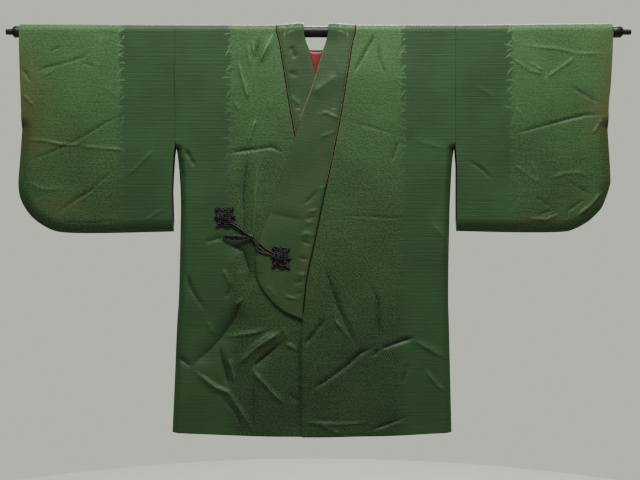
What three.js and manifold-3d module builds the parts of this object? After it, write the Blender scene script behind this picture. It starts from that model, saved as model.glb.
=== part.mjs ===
// Dochugi coat: a thigh-length Japanese crossover coat of woven silk, hung by its
// sleeves on a round steel rod. Millimetres, +Z up. The front faces -Y and +X is the
// wearer's left. The origin is on the rod's axis, midway between the sleeves' ends.
//
// Cloth is laid out flat first, by x and by its run from the shoulder line (minus down
// the front, plus down the back). It is then hung over the rod as a wall of even
// thickness. The wearer's left front crosses over the right one.
import * as THREE from 'three';
import { mergeVertices } from 'three/addons/utils/BufferGeometryUtils.js';
import Module from 'manifold-3d';

const wasm = await Module();
wasm.setup();

// ---- driving dimensions ----
const ROD_RADIUS = 12.5;
const ROD_END_X = 655.8;         // half the tube's length
const GAP = 0.3;                 // between pieces that touch or are sewn together
const CLOTH = 1.6;               // wall of the silk with its lining
const BAND = 2.4;                // wall of the padded collar band
const REST = ROD_RADIUS + 0.4;   // inner face of the cloth, from the rod's axis
const QUARTER = REST * Math.PI / 2;
const ARC_STEPS = 4;             // steps of the cloth's bend over each quarter of the rod
const SEWN_DEPTH = 45;           // the two layers part within this distance of a seam
const LAP = 4.4;                 // the over front stands this far off the under front
const UNDER_DRAW = 12;           // the under front's edge lies this much further back
const PIPING_WIDTH = 2.6;
const PIPING = 1.3;
const PIPING_LIFT = 0.6;         // clear of the body's cloth beneath it
const PIPING_FIRST_ROW = { left: 1, right: 10 };   // the right one starts under the overlap
const CORD_RADIUS = 1.6;
const CORD_SIDES = 6;

const LEFT = 1;
const RIGHT = -1;
const FRONT = -1;
const BACK = 1;

// The side of the body, down from the shoulder: x of the wearer's right and left edges.
const BODY_SIDE = [
  { z: REST, right: -312.2, left: 307.8 },
  { z: -249, right: -310.0, left: 306.8 },
  { z: -264, right: -307.0, left: 303.0 },
  { z: -325, right: -301.2, left: 299.0 },
  { z: -387, right: -299.4, left: 296.1 },
  { z: -504, right: -301.4, left: 293.5 },
  { z: -594, right: -303.8, left: 292.6 },
  { z: -650, right: -308.2, left: 294.5 },
  { z: -762, right: -312.4, left: 297.2 },
  { z: -886, right: -317.9, left: 300.1 },
];
const ARMHOLE_Z = -264;
const HEM_SIDE_Z = -886;
const HEM_FRONT_Z = -895.6;
const HEM_DROP = 2;              // the hem bows down this much between its corners

// The collar band in front, up from its rounded end: the seam on the body and the
// free edge, as on the wearer's left. The right side mirrors it.
const BAND_FRONT = [
  { seamX: -29.5, seamZ: -635, edgeX: -71, edgeZ: -617 },
  { seamX: -29.0, seamZ: -620, edgeX: -94, edgeZ: -599 },
  { seamX: -27.5, seamZ: -603, edgeX: -120, edgeZ: -566 },
  { seamX: -25.0, seamZ: -580, edgeX: -131, edgeZ: -538 },
  { seamX: -22.0, seamZ: -553, edgeX: -133, edgeZ: -510 },
  { seamX: -16.0, seamZ: -520, edgeX: -130, edgeZ: -485 },
  { seamX: -6.4, seamZ: -478, edgeX: -120, edgeZ: -448 },
  { seamX: 3.0, seamZ: -432, edgeX: -104, edgeZ: -409 },
  { seamX: 12.3, seamZ: -386, edgeX: -91, edgeZ: -368 },
  { seamX: 22.6, seamZ: -339, edgeX: -76, edgeZ: -325 },
  { seamX: 33.0, seamZ: -293, edgeX: -60, edgeZ: -280 },
  { seamX: 43.5, seamZ: -240, edgeX: -44, edgeZ: -228 },
  { seamX: 53.9, seamZ: -187, edgeX: -27, edgeZ: -175 },
  { seamX: 63.5, seamZ: -127, edgeX: -6, edgeZ: -119 },
  { seamX: 72.4, seamZ: -71, edgeX: 10, edgeZ: -66 },
  { seamX: 80.0, seamZ: -25, edgeX: 21.5, edgeZ: -25 },
];
// Over the rod the band keeps these two edges.
const BAND_TOP = { seamX: 86.2, edgeX: 27 };
// Behind the neck, from the rod to the centre of the back.
const BAND_BACK = [
  { seamX: 83, seamZ: -30, edgeX: 21, edgeZ: -22 },
  { seamX: 72, seamZ: -62, edgeX: 15, edgeZ: -34 },
  { seamX: 50, seamZ: -88, edgeX: 9, edgeZ: -40 },
  { seamX: 25, seamZ: -100, edgeX: 4.5, edgeZ: -42.5 },
];
const BAND_CENTRE = { seamX: 0, seamZ: -103, edgeX: 0, edgeZ: -43 };
const BAND_COLUMNS = [0, 0.25, 0.5, 0.75, 1];

// Below the band the front edges hang straight to the hem.
const FRONT_EDGE_X = -31.5;
const FRONT_EDGE_ROWS = [-HEM_FRONT_Z, 843, 790, 738, 686].map((drop) => -drop);

// Rows of the back below the rod: height at the side and at the centre seam.
const BACK_ROWS_AT_BAND = [-34, -72, -110, -142];
const BACK_ROW_AT_CENTRE = -172;
const BACK_ROWS = [
  { side: -215, centre: -165 },
  { side: -264, centre: -228 },
  { side: -325, centre: -300 },
  { side: -395, centre: -380 },
  { side: -465, centre: -460 },
  { side: -540, centre: -540 },
  { side: -615, centre: -620 },
  { side: -690, centre: -700 },
  { side: -760, centre: -770 },
  { side: -825, centre: -835 },
  { side: HEM_SIDE_Z, centre: HEM_FRONT_Z },
];
// Columns of the body: steps near the sewn side, then even shares of what is left.
const SIDE_STEPS = [0, 5, 14, 28, 46];
const BODY_SHARES = 7;
const INNER_STEP = 4;            // the last column, beside the seam or front edge

// The sleeves, from the shoulder line down. Inner and outer edges, and the foot from
// the inner corner to the middle of the rounded outer corner.
const SLEEVES = {
  right: {
    hand: RIGHT,
    inner: [
      { x: -312.6, z: REST },
      { x: -310.6, z: -249 },
      { x: -314.0, z: -278 },
      { x: -317.7, z: -351 },
      { x: -315.0, z: -442.6 },
    ],
    outer: [
      { x: -655.2, z: REST },
      { x: -653.2, z: -78 },
      { x: -649.7, z: -187 },
      { x: -655.2, z: -278 },
      { x: -659.3, z: -340 },
      { x: -651.4, z: -377 },
      { x: -629.4, z: -409.6 },
    ],
    foot: [
      { x: -315.0, z: -442.6 },
      { x: -476.0, z: -446.2 },
      { x: -560.0, z: -444.4 },
      { x: -596.6, z: -433.4 },
      { x: -629.4, z: -409.6 },
    ],
  },
  left: {
    hand: LEFT,
    inner: [
      { x: 308.2, z: REST },
      { x: 307.4, z: -246 },
      { x: 310.6, z: -297 },
      { x: 310.6, z: -441.5 },
    ],
    outer: [
      { x: 654.0, z: REST },
      { x: 655.0, z: -5 },
      { x: 649.9, z: -114 },
      { x: 645.3, z: -158 },
      { x: 645.3, z: -206 },
      { x: 651.9, z: -315 },
      { x: 649.9, z: -344 },
      { x: 633.6, z: -388 },
      { x: 619.0, z: -404 },
    ],
    foot: [
      { x: 310.6, z: -441.5 },
      { x: 440.2, z: -444.4 },
      { x: 538.8, z: -443.7 },
      { x: 571.6, z: -437.1 },
      { x: 604.3, z: -418.9 },
      { x: 619.0, z: -404.0 },
    ],
  },
};
const CUFF_Z = -215;             // the sleeve's outer edge is sewn shut below this
const SLEEVE_ROWS = [0.11, 0.22, 0.33, 0.44, 0.55, 0.66, 0.76, 0.85, 0.92, 0.965, 1];
const SLEEVE_COLUMNS = [0, 0.11, 0.22, 0.33, 0.44, 0.55, 0.66, 0.77, 0.86, 0.93, 0.975, 1];

// The largest folds, each a soft ridge (plus) or trough (minus) along a line.
const FOLDS = {
  sleeveRight: [
    { face: FRONT, x1: -645, z1: -238, x2: -418, z2: -262, reach: 26, height: 5 },
    { face: FRONT, x1: -629, z1: -286, x2: -500, z2: -216, reach: 24, height: -4 },
    { face: FRONT, x1: -574, z1: -400, x2: -440, z2: -310, reach: 28, height: 5 },
    { face: FRONT, x1: -629, z1: -92, x2: -504, z2: -48, reach: 24, height: -4 },
    { face: BACK, x1: -620, z1: -180, x2: -430, z2: -250, reach: 26, height: 5 },
    { face: BACK, x1: -560, z1: -395, x2: -420, z2: -300, reach: 28, height: 4 },
  ],
  sleeveLeft: [
    { face: FRONT, x1: 433, z1: -224, x2: 640, z2: -183, reach: 26, height: 5 },
    { face: FRONT, x1: 436, z1: -293, x2: 512, z2: -345, reach: 24, height: -4 },
    { face: FRONT, x1: 469, z1: -405, x2: 600, z2: -385, reach: 26, height: 5 },
    { face: FRONT, x1: 436, z1: -48, x2: 620, z2: -62, reach: 24, height: -4 },
    { face: BACK, x1: 430, z1: -200, x2: 620, z2: -260, reach: 26, height: 5 },
    { face: BACK, x1: 400, z1: -330, x2: 520, z2: -400, reach: 26, height: -4 },
  ],
  underFront: [
    { face: FRONT, x1: -160, z1: -587, x2: -209, z2: -675, reach: 28, height: 5 },
    { face: FRONT, x1: -209, z1: -675, x2: -270, z2: -735, reach: 28, height: 5 },
    { face: FRONT, x1: -265, z1: -750, x2: -193, z2: -800, reach: 26, height: 5 },
    { face: FRONT, x1: -193, z1: -800, x2: -139, z2: -880, reach: 26, height: 4 },
    { face: FRONT, x1: -85, z1: -670, x2: -176, z2: -735, reach: 24, height: -4 },
    { face: BACK, x1: -60, z1: -560, x2: -200, z2: -700, reach: 30, height: 6 },
    { face: BACK, x1: -90, z1: -800, x2: -250, z2: -720, reach: 28, height: 5 },
    { face: BACK, x1: -240, z1: -300, x2: -120, z2: -420, reach: 28, height: -4 },
  ],
  overFront: [
    { face: FRONT, x1: 12, z1: -545, x2: 59, z2: -638, reach: 26, height: 5 },
    { face: FRONT, x1: 59, z1: -638, x2: 97, z2: -700, reach: 26, height: 5 },
    { face: FRONT, x1: 0, z1: -785, x2: 132, z2: -695, reach: 26, height: 5 },
    { face: FRONT, x1: 145, z1: -700, x2: 225, z2: -672, reach: 26, height: 5 },
    { face: FRONT, x1: 225, z1: -735, x2: 275, z2: -790, reach: 26, height: 4 },
    { face: BACK, x1: 60, z1: -520, x2: 210, z2: -660, reach: 30, height: 6 },
    { face: BACK, x1: 70, z1: -780, x2: 240, z2: -700, reach: 28, height: 5 },
    { face: BACK, x1: 230, z1: -290, x2: 110, z2: -430, reach: 28, height: -4 },
  ],
};

// The lining that shows behind the neck.
const LINING = 1.2;
const LINING_HALF = 48;
const LINING_COLUMNS = 12;
const LINING_TOP_Z = -24;
const LINING_DIP = 21;
const LINING_DIP_HALF = 21;
const LINING_FOOT_Z = -150;

// The fastener: two flower knots of braided cord, each with loops round a core.
const KNOTS = {
  right: {
    x: -199, z: -410, core: 9, stand: CLOTH,
    loops: [
      { turn: 45, reach: 24, width: 11 },
      { turn: 120, reach: 21, width: 11 },
      { turn: 195, reach: 23, width: 12 },
      { turn: 265, reach: 22, width: 12 },
      { turn: 335, reach: 21, width: 10 },
    ],
  },
  left: {
    x: -77, z: -500, core: 10, stand: LAP + BAND,
    loops: [
      { turn: 25, reach: 21, width: 11 },
      { turn: 88, reach: 27, width: 12 },
      { turn: 150, reach: 21, width: 11 },
      { turn: 215, reach: 23, width: 11 },
      { turn: 272, reach: 30, width: 12 },
      { turn: 330, reach: 23, width: 11 },
    ],
  },
};
const KNOT_CORE_SEGMENTS = 12;
const LOOP_STEPS = 9;
const BUTTON = { x: -139, z: -456, out: 6.6, radius: 4.6 };
// Cords between the knots: x, z and height over the cloth's inner rest.
const CORDS = {
  cord_right_upper: [
    [-173.5, -427, 3.9], [-162, -436, 3.9], [-151, -445, 4.5], [-145.5, -450, 5.4],
  ],
  cord_right_lower: [
    [-178, -432, 3.9], [-166, -441, 3.9], [-155, -449, 4.3], [-146.5, -455, 5.4],
  ],
  cord_left_upper: [
    [-132.5, -459, 8.6], [-124, -468, 9.6], [-112, -479, 9.3], [-102.5, -485, 9.1],
  ],
  cord_left_lower: [
    [-136, -463, 8.4], [-128.5, -474, 9.7], [-117, -484, 9.3], [-104, -491, 9.1],
  ],
  cord_tail: [
    [-146.5, -459.5, 5.2], [-158, -462, 3.9], [-180, -463, 3.9], [-199, -459, 3.9],
    [-204, -453.5, 3.9], [-198, -450.5, 3.9], [-180, -453, 3.9], [-170, -456, 3.9],
  ],
};
const CORD_STEPS = 9;

// The rod's end pieces, out from the tube: [distance along the rod, radius].
const ROD_SEGMENTS = 32;
const ROD_RIGHT_END = [[0, 12.75], [10, 12.75], [13.5, 11], [15, 8], [15, 6.5], [30.4, 6.5]];
const ROD_LEFT_END = [[0, 12.75], [18, 12.75], [22, 9.5], [22, 6.5], [41.2, 6.5]];

// ---- materials ----
const silk = new THREE.MeshStandardMaterial({ color: 0x3f5d3a, roughness: 0.6, metalness: 0 });
const sleeveSilk = silk.clone();
sleeveSilk.color.set(0x446440);
const bandSilk = silk.clone();
bandSilk.color.set(0x3a5436);
const liningSilk = new THREE.MeshStandardMaterial({ color: 0x6b1f1f, roughness: 0.55 });
const pipingSilk = new THREE.MeshStandardMaterial({ color: 0x4a2018, roughness: 0.7 });
const braid = new THREE.MeshStandardMaterial({ color: 0x15100f, roughness: 0.65 });
const blackPaint = new THREE.MeshStandardMaterial({ color: 0x0d0e0d, roughness: 0.35 });

// ---- small helpers ----
const mix = (a, b, share) => a + (b - a) * share;
const smooth = (value) => {
  const held = Math.min(1, Math.max(0, value));
  return held * held * (3 - 2 * held);
};
const runAt = (z, face) => face * (z >= 0 ? Math.acos(z / REST) * REST : QUARTER - z);

// x on an edge whose points go down in z, held at its two ends.
function edgeX(edge, z, key = 'x') {
  const below = edge.findIndex((point) => point.z <= z);
  if (below === 0) {
    return edge[0][key];
  }
  if (below < 0) {
    return edge[edge.length - 1][key];
  }
  const upper = edge[below - 1];
  const lower = edge[below];
  return mix(upper[key], lower[key], (z - upper.z) / (lower.z - upper.z));
}

function distanceTo(line, x, z) {
  let nearest = Infinity;
  for (let i = 0; i + 1 < line.length; i += 1) {
    const dx = line[i + 1].x - line[i].x;
    const dz = line[i + 1].z - line[i].z;
    const along = ((x - line[i].x) * dx + (z - line[i].z) * dz) / (dx * dx + dz * dz);
    const share = Math.min(1, Math.max(0, along));
    const away = Math.hypot(x - line[i].x - share * dx, z - line[i].z - share * dz);
    nearest = Math.min(nearest, away);
  }
  return nearest;
}

// How far a fold lifts the cloth at x, z.
function foldLift(folds, x, z, face) {
  let lift = 0;
  for (const fold of folds.filter((each) => each.face === face)) {
    const line = [{ x: fold.x1, z: fold.z1 }, { x: fold.x2, z: fold.z2 }];
    lift += fold.height * (1 - smooth(distanceTo(line, x, z) / fold.reach));
  }
  return lift;
}

// The form of a piece of cloth: how far its inner face hangs from the middle plane.
// It is gathered to the other layer along a sewn line, and lifted by folds and a lap.
function formOf(sewnLine, folds, lap) {
  return (x, z, face) => {
    const parted = sewnLine ? Math.min(1, distanceTo(sewnLine, x, z) / SEWN_DEPTH) : 1;
    const open = Math.sin(parted * Math.PI / 2);
    const stand = mix(GAP / 2, REST, open);
    return stand + lap(x, z, face) + foldLift(folds, x, z, face) * open;
  };
}
const noLap = () => 0;
const overLap = (x, z, face) => {
  const down = smooth((-z - 15) / 70);
  const across = 1 - smooth((x - 150) / 120);
  return face === FRONT ? LAP * down * across : 0;
};

// A place in the flat cloth, hung over the rod. "out" is measured from its inner face.
function hang({ x, run, form }, out) {
  const fall = Math.abs(run);
  if (fall <= QUARTER) {
    const angle = run / REST;
    return new THREE.Vector3(x, Math.sin(angle) * (REST + out), Math.cos(angle) * (REST + out));
  }
  const z = QUARTER - fall;
  const face = Math.sign(run);
  return new THREE.Vector3(x, face * (form(x, z, face) + out), z);
}

// ---- solids ----
function facingOut(points, faces) {
  let volume = 0;
  for (let i = 0; i < faces.length; i += 3) {
    const [a, b, c] = [points[faces[i]], points[faces[i + 1]], points[faces[i + 2]]];
    volume += a.dot(b.clone().cross(c));
  }
  const turned = volume < 0 ? faces.toReversed() : faces;
  const geometry = new THREE.BufferGeometry().setFromPoints(points);
  geometry.setIndex(turned);
  geometry.computeVertexNormals();
  return geometry;
}

// A wall over a grid of places in the cloth, between two distances from its inner face.
function wall(grid, from, to) {
  const rows = grid.length;
  const columns = grid[0].length;
  const outer = grid.flat().map((place) => hang(place, to));
  const inner = grid.flat().map((place) => hang(place, from));
  const skin = rows * columns;
  const at = (row, column) => row * columns + column;
  const faces = [];
  const quad = (a, b, c, d) => faces.push(a, b, c, a, c, d);
  const rim = (a, b) => quad(a, b, b + skin, a + skin);
  for (let row = 0; row + 1 < rows; row += 1) {
    for (let column = 0; column + 1 < columns; column += 1) {
      const near = [at(row, column), at(row, column + 1)];
      const far = [at(row + 1, column + 1), at(row + 1, column)];
      quad(...near, ...far);
      quad(...[...near, ...far].reverse().map((corner) => corner + skin));
    }
    rim(at(row, 0), at(row + 1, 0));
    rim(at(row + 1, columns - 1), at(row, columns - 1));
  }
  for (let column = 0; column + 1 < columns; column += 1) {
    rim(at(0, column + 1), at(0, column));
    rim(at(rows - 1, column), at(rows - 1, column + 1));
  }
  return facingOut([...outer, ...inner], faces);
}

function toSolid(geometry) {
  const bare = geometry.clone();
  bare.deleteAttribute('normal');
  bare.deleteAttribute('uv');
  const merged = mergeVertices(bare, 1e-4);
  return new wasm.Manifold(new wasm.Mesh({
    numProp: 3,
    vertProperties: merged.attributes.position.array,
    triVerts: new Uint32Array(merged.index.array),
  }));
}

function fused(geometries) {
  const mesh = geometries.map(toSolid).reduce((whole, solid) => whole.add(solid)).getMesh();
  const geometry = new THREE.BufferGeometry();
  geometry.setAttribute('position', new THREE.BufferAttribute(mesh.vertProperties, 3));
  geometry.setIndex(new THREE.BufferAttribute(mesh.triVerts, 1));
  geometry.computeVertexNormals();
  return geometry;
}

function tube(points, radius, steps) {
  const section = new THREE.Shape();
  for (let side = 0; side < CORD_SIDES; side += 1) {
    const angle = side / CORD_SIDES * 2 * Math.PI;
    const place = [radius * Math.cos(angle), radius * Math.sin(angle)];
    side === 0 ? section.moveTo(...place) : section.lineTo(...place);
  }
  const path = new THREE.CatmullRomCurve3(points, false, 'centripetal');
  return new THREE.ExtrudeGeometry(section, { steps, extrudePath: path });
}

// A turned piece whose axis is the rod's. Its profile is [distance along +X, radius].
function turned(profile) {
  const first = profile[0][0];
  const last = profile[profile.length - 1][0];
  const points = [[first, 0], ...profile, [last, 0]];
  const lathe = new THREE.LatheGeometry(
    points.map(([along, radius]) => new THREE.Vector2(radius, along)), ROD_SEGMENTS);
  return lathe.rotateZ(-Math.PI / 2);
}

// ---- the rod ----
function rodTube() {
  return turned([[-ROD_END_X, ROD_RADIUS], [ROD_END_X, ROD_RADIUS]]);
}

function rodEnd(profile, hand) {
  const start = ROD_END_X + GAP;
  const piece = turned(profile.map(([along, radius]) => [start + along, radius]));
  return hand === LEFT ? piece : piece.rotateZ(Math.PI);
}

// ---- cloth ----
const sewnRows = BODY_SIDE.filter((row) => row.z <= ARMHOLE_Z);
const sideLine = (key) => sewnRows.map((row) => ({ x: row[key], z: row.z }));
const overForm = formOf(sideLine('left'), FOLDS.overFront, overLap);
const underForm = formOf(sideLine('right'), FOLDS.underFront, noLap);
const formFor = (hand) => (hand === LEFT ? overForm : underForm);

// The collar's stations on one side, up the front, over the rod and down the back.
function bandStations(hand) {
  const drawn = (x, z) => hand * x - (hand === RIGHT ? UNDER_DRAW * smooth((-z - 300) / 260) : 0);
  const station = ({ seamX, seamZ, edgeX: freeX, edgeZ: freeZ }, face) => ({
    seam: { x: drawn(seamX, seamZ), run: runAt(seamZ, face) },
    edge: { x: drawn(freeX, freeZ), run: runAt(freeZ, face) },
  });
  const over = [];
  for (let step = -ARC_STEPS; step <= ARC_STEPS; step += 1) {
    const run = step / ARC_STEPS * QUARTER;
    over.push({
      seam: { x: hand * BAND_TOP.seamX, run },
      edge: { x: hand * BAND_TOP.edgeX, run },
    });
  }
  return [
    ...BAND_FRONT.map((row) => station(row, FRONT)),
    ...over,
    ...BAND_BACK.map((row) => station(row, BACK)),
  ];
}

function collar() {
  const centre = {
    seam: { x: BAND_CENTRE.seamX, run: runAt(BAND_CENTRE.seamZ, BACK) },
    edge: { x: BAND_CENTRE.edgeX, run: runAt(BAND_CENTRE.edgeZ, BACK) },
  };
  const across = (form) => ({ seam, edge }) => BAND_COLUMNS.map((share) => ({
    x: mix(seam.x, edge.x, share),
    run: mix(seam.run, edge.run, share),
    form,
  }));
  return wall([
    ...bandStations(LEFT).map(across(overForm)),
    across(overForm)(centre),
    ...bandStations(RIGHT).map(across(underForm)).reverse(),
  ], 0, BAND);
}

// A thin strip of piping that lies on the body beside the collar's seam.
function piping(hand, firstRow) {
  const rows = bandStations(hand).slice(firstRow).map(({ seam, edge }) => {
    const wide = Math.hypot(seam.x - edge.x, seam.run - edge.run);
    return [GAP + 0.3, GAP + 0.3 + PIPING_WIDTH].map((away) => ({
      x: mix(seam.x, edge.x, -away / wide),
      run: mix(seam.run, edge.run, -away / wide),
      form: formFor(hand),
    }));
  });
  return wall(rows, CLOTH + PIPING_LIFT, CLOTH + PIPING_LIFT + PIPING);
}

// One half of the body: a single width of cloth from the front hem, over the shoulder,
// to the back hem. Its inner edge follows the front edge, the collar and the back seam.
function bodyHalf(hand) {
  const key = hand === LEFT ? 'left' : 'right';
  const stations = bandStations(hand);
  const frontRows = BAND_FRONT.length;
  const overRows = 2 * ARC_STEPS + 1;
  const frontEdgeX = hand * FRONT_EDGE_X - (hand === RIGHT ? UNDER_DRAW : 0);
  const sideAt = (z, face) => ({ x: edgeX(BODY_SIDE, z, key), run: runAt(z, face) });
  const besideBand = ({ seam, edge }) => {
    const wide = Math.hypot(seam.x - edge.x, seam.run - edge.run);
    return {
      x: mix(seam.x, edge.x, -GAP / wide),
      run: mix(seam.run, edge.run, -GAP / wide),
    };
  };
  const rows = FRONT_EDGE_ROWS.map((z) => ({
    side: sideAt(Math.max(z, HEM_SIDE_Z), FRONT),
    inner: { x: frontEdgeX, run: runAt(z, FRONT) },
  }));
  stations.forEach((station, index) => {
    const inner = besideBand(station);
    const onRod = index >= frontRows && index < frontRows + overRows;
    const backIndex = index - frontRows - overRows;
    if (index < frontRows) {
      rows.push({ side: sideAt(BAND_FRONT[index].seamZ, FRONT), inner });
    } else if (onRod) {
      const x = edgeX(BODY_SIDE, 0, key);
      rows.push({ side: { x, run: inner.run }, inner });
    } else {
      rows.push({ side: sideAt(BACK_ROWS_AT_BAND[backIndex], BACK), inner });
    }
  });
  rows.push({
    side: sideAt(BACK_ROW_AT_CENTRE, BACK),
    inner: { x: hand * GAP / 2, run: runAt(BAND_CENTRE.seamZ - GAP, BACK) },
  });
  BACK_ROWS.forEach(({ side, centre }) => rows.push({
    side: sideAt(side, BACK),
    inner: { x: hand * GAP / 2, run: runAt(centre, BACK) },
  }));
  const form = formFor(hand);
  return wall(rows.map(({ side, inner }, index) => {
    const wide = Math.abs(inner.x - side.x);
    const last = SIDE_STEPS[SIDE_STEPS.length - 1] / wide;
    const shares = SIDE_STEPS.map((step) => step / wide);
    for (let share = 1; share <= BODY_SHARES; share += 1) {
      shares.push(mix(last, 1 - INNER_STEP / wide, share / BODY_SHARES));
    }
    shares.push(1);
    const atHem = index === 0 || index === rows.length - 1;
    return shares.map((share) => {
      const bow = atHem ? HEM_DROP * Math.sin(Math.PI * share) : 0;
      const run = mix(side.run, inner.run, share);
      return { x: mix(side.x, inner.x, share), run: run + Math.sign(run) * bow, form };
    });
  }), 0, CLOTH);
}

// A sleeve: one width folded over the rod, sewn shut along its foot and round its
// outer corner, and open at the cuff and along its inner edge.
function sleeve({ inner, outer, foot }, folds) {
  const closed = [...foot, ...outer.filter((point) => point.z < CUFF_Z).reverse().slice(1),
    { x: edgeX(outer, CUFF_Z), z: CUFF_Z }];
  const form = formOf(closed, folds, noLap);
  const footLength = [0];
  for (let i = 1; i < foot.length; i += 1) {
    const step = Math.hypot(foot[i].x - foot[i - 1].x, foot[i].z - foot[i - 1].z);
    footLength.push(footLength[i - 1] + step);
  }
  const footAt = (share) => {
    const along = share * footLength[foot.length - 1];
    const next = Math.max(1, footLength.findIndex((length) => length >= along - 1e-6));
    const span = footLength[next] - footLength[next - 1];
    const part = (along - footLength[next - 1]) / span;
    return {
      x: mix(foot[next - 1].x, foot[next].x, part),
      z: mix(foot[next - 1].z, foot[next].z, part),
    };
  };
  const innerFoot = inner[inner.length - 1];
  const outerFoot = outer[outer.length - 1];
  const hanging = (face) => SLEEVE_ROWS.map((down) => SLEEVE_COLUMNS.map((share) => {
    const innerZ = innerFoot.z * down;
    const outerZ = outerFoot.z * down;
    const bent = footAt(share);
    const bentX = bent.x - mix(innerFoot.x, outerFoot.x, share);
    const bentZ = bent.z - mix(innerFoot.z, outerFoot.z, share);
    const x = mix(edgeX(inner, innerZ), edgeX(outer, outerZ), share) + bentX * down;
    const z = mix(innerZ, outerZ, share) + bentZ * down;
    return { x, run: runAt(z, face), form };
  }));
  const over = [];
  for (let step = -ARC_STEPS; step <= ARC_STEPS; step += 1) {
    const run = step / ARC_STEPS * QUARTER;
    over.push(SLEEVE_COLUMNS.map((share) => ({
      x: mix(inner[0].x, outer[0].x, share), run, form,
    })));
  }
  return wall([...hanging(FRONT).reverse(), ...over, ...hanging(BACK)], 0, CLOTH);
}

function liningBehindNeck() {
  const places = [...Array(LINING_COLUMNS + 1).keys()].map((column) => {
    const x = mix(-LINING_HALF, LINING_HALF, column / LINING_COLUMNS);
    const dip = Math.max(0, 1 - (x / LINING_DIP_HALF) ** 2) * LINING_DIP;
    return { x, top: LINING_TOP_Z - dip };
  });
  const flat = formOf(null, [], noLap);
  const rowAt = (height) => places.map((place) => ({
    x: place.x, run: runAt(height(place), BACK), form: flat,
  }));
  return wall([rowAt((place) => place.top), rowAt(() => LINING_FOOT_Z)], -GAP - LINING, -GAP);
}

// ---- the fastener ----
function flowerKnot({ x, z, core, stand, loops }) {
  const middle = stand + GAP + CORD_RADIUS + 0.4;
  const placed = (right, up, out) => new THREE.Vector3(x + right, -(REST + out), z + up);
  const petals = loops.map(({ turn, reach, width }) => {
    const angle = THREE.MathUtils.degToRad(turn);
    const spot = (along, aside, out) => placed(
      along * Math.cos(angle) - aside * Math.sin(angle),
      along * Math.sin(angle) + aside * Math.cos(angle),
      out);
    return tube([
      spot(2, -1.4, middle),
      spot(reach * 0.5, -width / 2, middle),
      spot(reach * 0.86, -width * 0.36, middle),
      spot(reach - CORD_RADIUS, 0, middle),
      spot(reach * 0.86, width * 0.36, middle),
      spot(reach * 0.5, width / 2, middle),
      spot(2, 1.4, middle),
    ], CORD_RADIUS, LOOP_STEPS);
  });
  const dome = new THREE.SphereGeometry(core, KNOT_CORE_SEGMENTS, KNOT_CORE_SEGMENTS / 2);
  dome.scale(1, 0.28, 1);
  const seat = placed(0, 0, middle + 0.6);
  dome.translate(seat.x, seat.y, seat.z);
  return fused([dome, ...petals]);
}

function buttonBall() {
  const ball = new THREE.SphereGeometry(BUTTON.radius, KNOT_CORE_SEGMENTS, KNOT_CORE_SEGMENTS / 2);
  return ball.translate(BUTTON.x, -(REST + BUTTON.out), BUTTON.z);
}

function cord(places) {
  const points = places.map(([x, z, out]) => new THREE.Vector3(x, -(REST + out), z));
  return tube(points, CORD_RADIUS, CORD_STEPS);
}

// ---- the object ----
function named(name, geometry, material) {
  const mesh = new THREE.Mesh(geometry, material);
  mesh.name = name;
  return mesh;
}

const coat = new THREE.Group();
coat.add(
  named('body_right', bodyHalf(RIGHT), silk),
  named('body_left', bodyHalf(LEFT), silk),
  named('sleeve_right', sleeve(SLEEVES.right, FOLDS.sleeveRight), sleeveSilk),
  named('sleeve_left', sleeve(SLEEVES.left, FOLDS.sleeveLeft), sleeveSilk),
  named('collar', collar(), bandSilk),
  named('piping_right', piping(RIGHT, PIPING_FIRST_ROW.right), pipingSilk),
  named('piping_left', piping(LEFT, PIPING_FIRST_ROW.left), pipingSilk),
  named('lining_back', liningBehindNeck(), liningSilk),
);

const fastener = new THREE.Group();
fastener.add(
  named('knot_right', flowerKnot(KNOTS.right), braid),
  named('knot_left', flowerKnot(KNOTS.left), braid),
  named('button_ball', buttonBall(), braid),
);
Object.entries(CORDS).forEach(([name, places]) => fastener.add(named(name, cord(places), braid)));

const rod = new THREE.Group();
rod.add(
  named('rod_tube', rodTube(), blackPaint),
  named('rod_end_right', rodEnd(ROD_RIGHT_END, RIGHT), blackPaint),
  named('rod_end_left', rodEnd(ROD_LEFT_END, LEFT), blackPaint),
);

const dochugi = new THREE.Group();
dochugi.add(coat, fastener, rod);
export default dochugi;
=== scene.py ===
"""A dochugi coat of figured green silk, hung by its sleeves on a black rod.

The cloth is laid out flat by its sizes, hung over the rod, and creased along listed lines.
Tables are
in millimetres: x across the coat (+x is the wearer's left), z up from the rod's axis.
"""
import math

import bpy
import numpy as np
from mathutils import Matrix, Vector

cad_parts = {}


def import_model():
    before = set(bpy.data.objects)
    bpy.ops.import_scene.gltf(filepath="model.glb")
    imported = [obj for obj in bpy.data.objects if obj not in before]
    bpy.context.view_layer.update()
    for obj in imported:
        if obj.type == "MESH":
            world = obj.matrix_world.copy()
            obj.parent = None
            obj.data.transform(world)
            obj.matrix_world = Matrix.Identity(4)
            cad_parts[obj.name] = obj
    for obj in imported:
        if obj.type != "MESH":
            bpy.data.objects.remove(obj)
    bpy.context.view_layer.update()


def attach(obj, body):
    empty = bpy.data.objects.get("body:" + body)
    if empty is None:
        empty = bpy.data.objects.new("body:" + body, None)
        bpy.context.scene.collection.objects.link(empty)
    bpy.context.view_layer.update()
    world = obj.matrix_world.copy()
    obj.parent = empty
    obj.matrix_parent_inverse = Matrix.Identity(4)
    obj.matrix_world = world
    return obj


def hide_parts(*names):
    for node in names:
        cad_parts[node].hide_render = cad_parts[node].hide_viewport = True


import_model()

MM = 0.001

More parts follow.
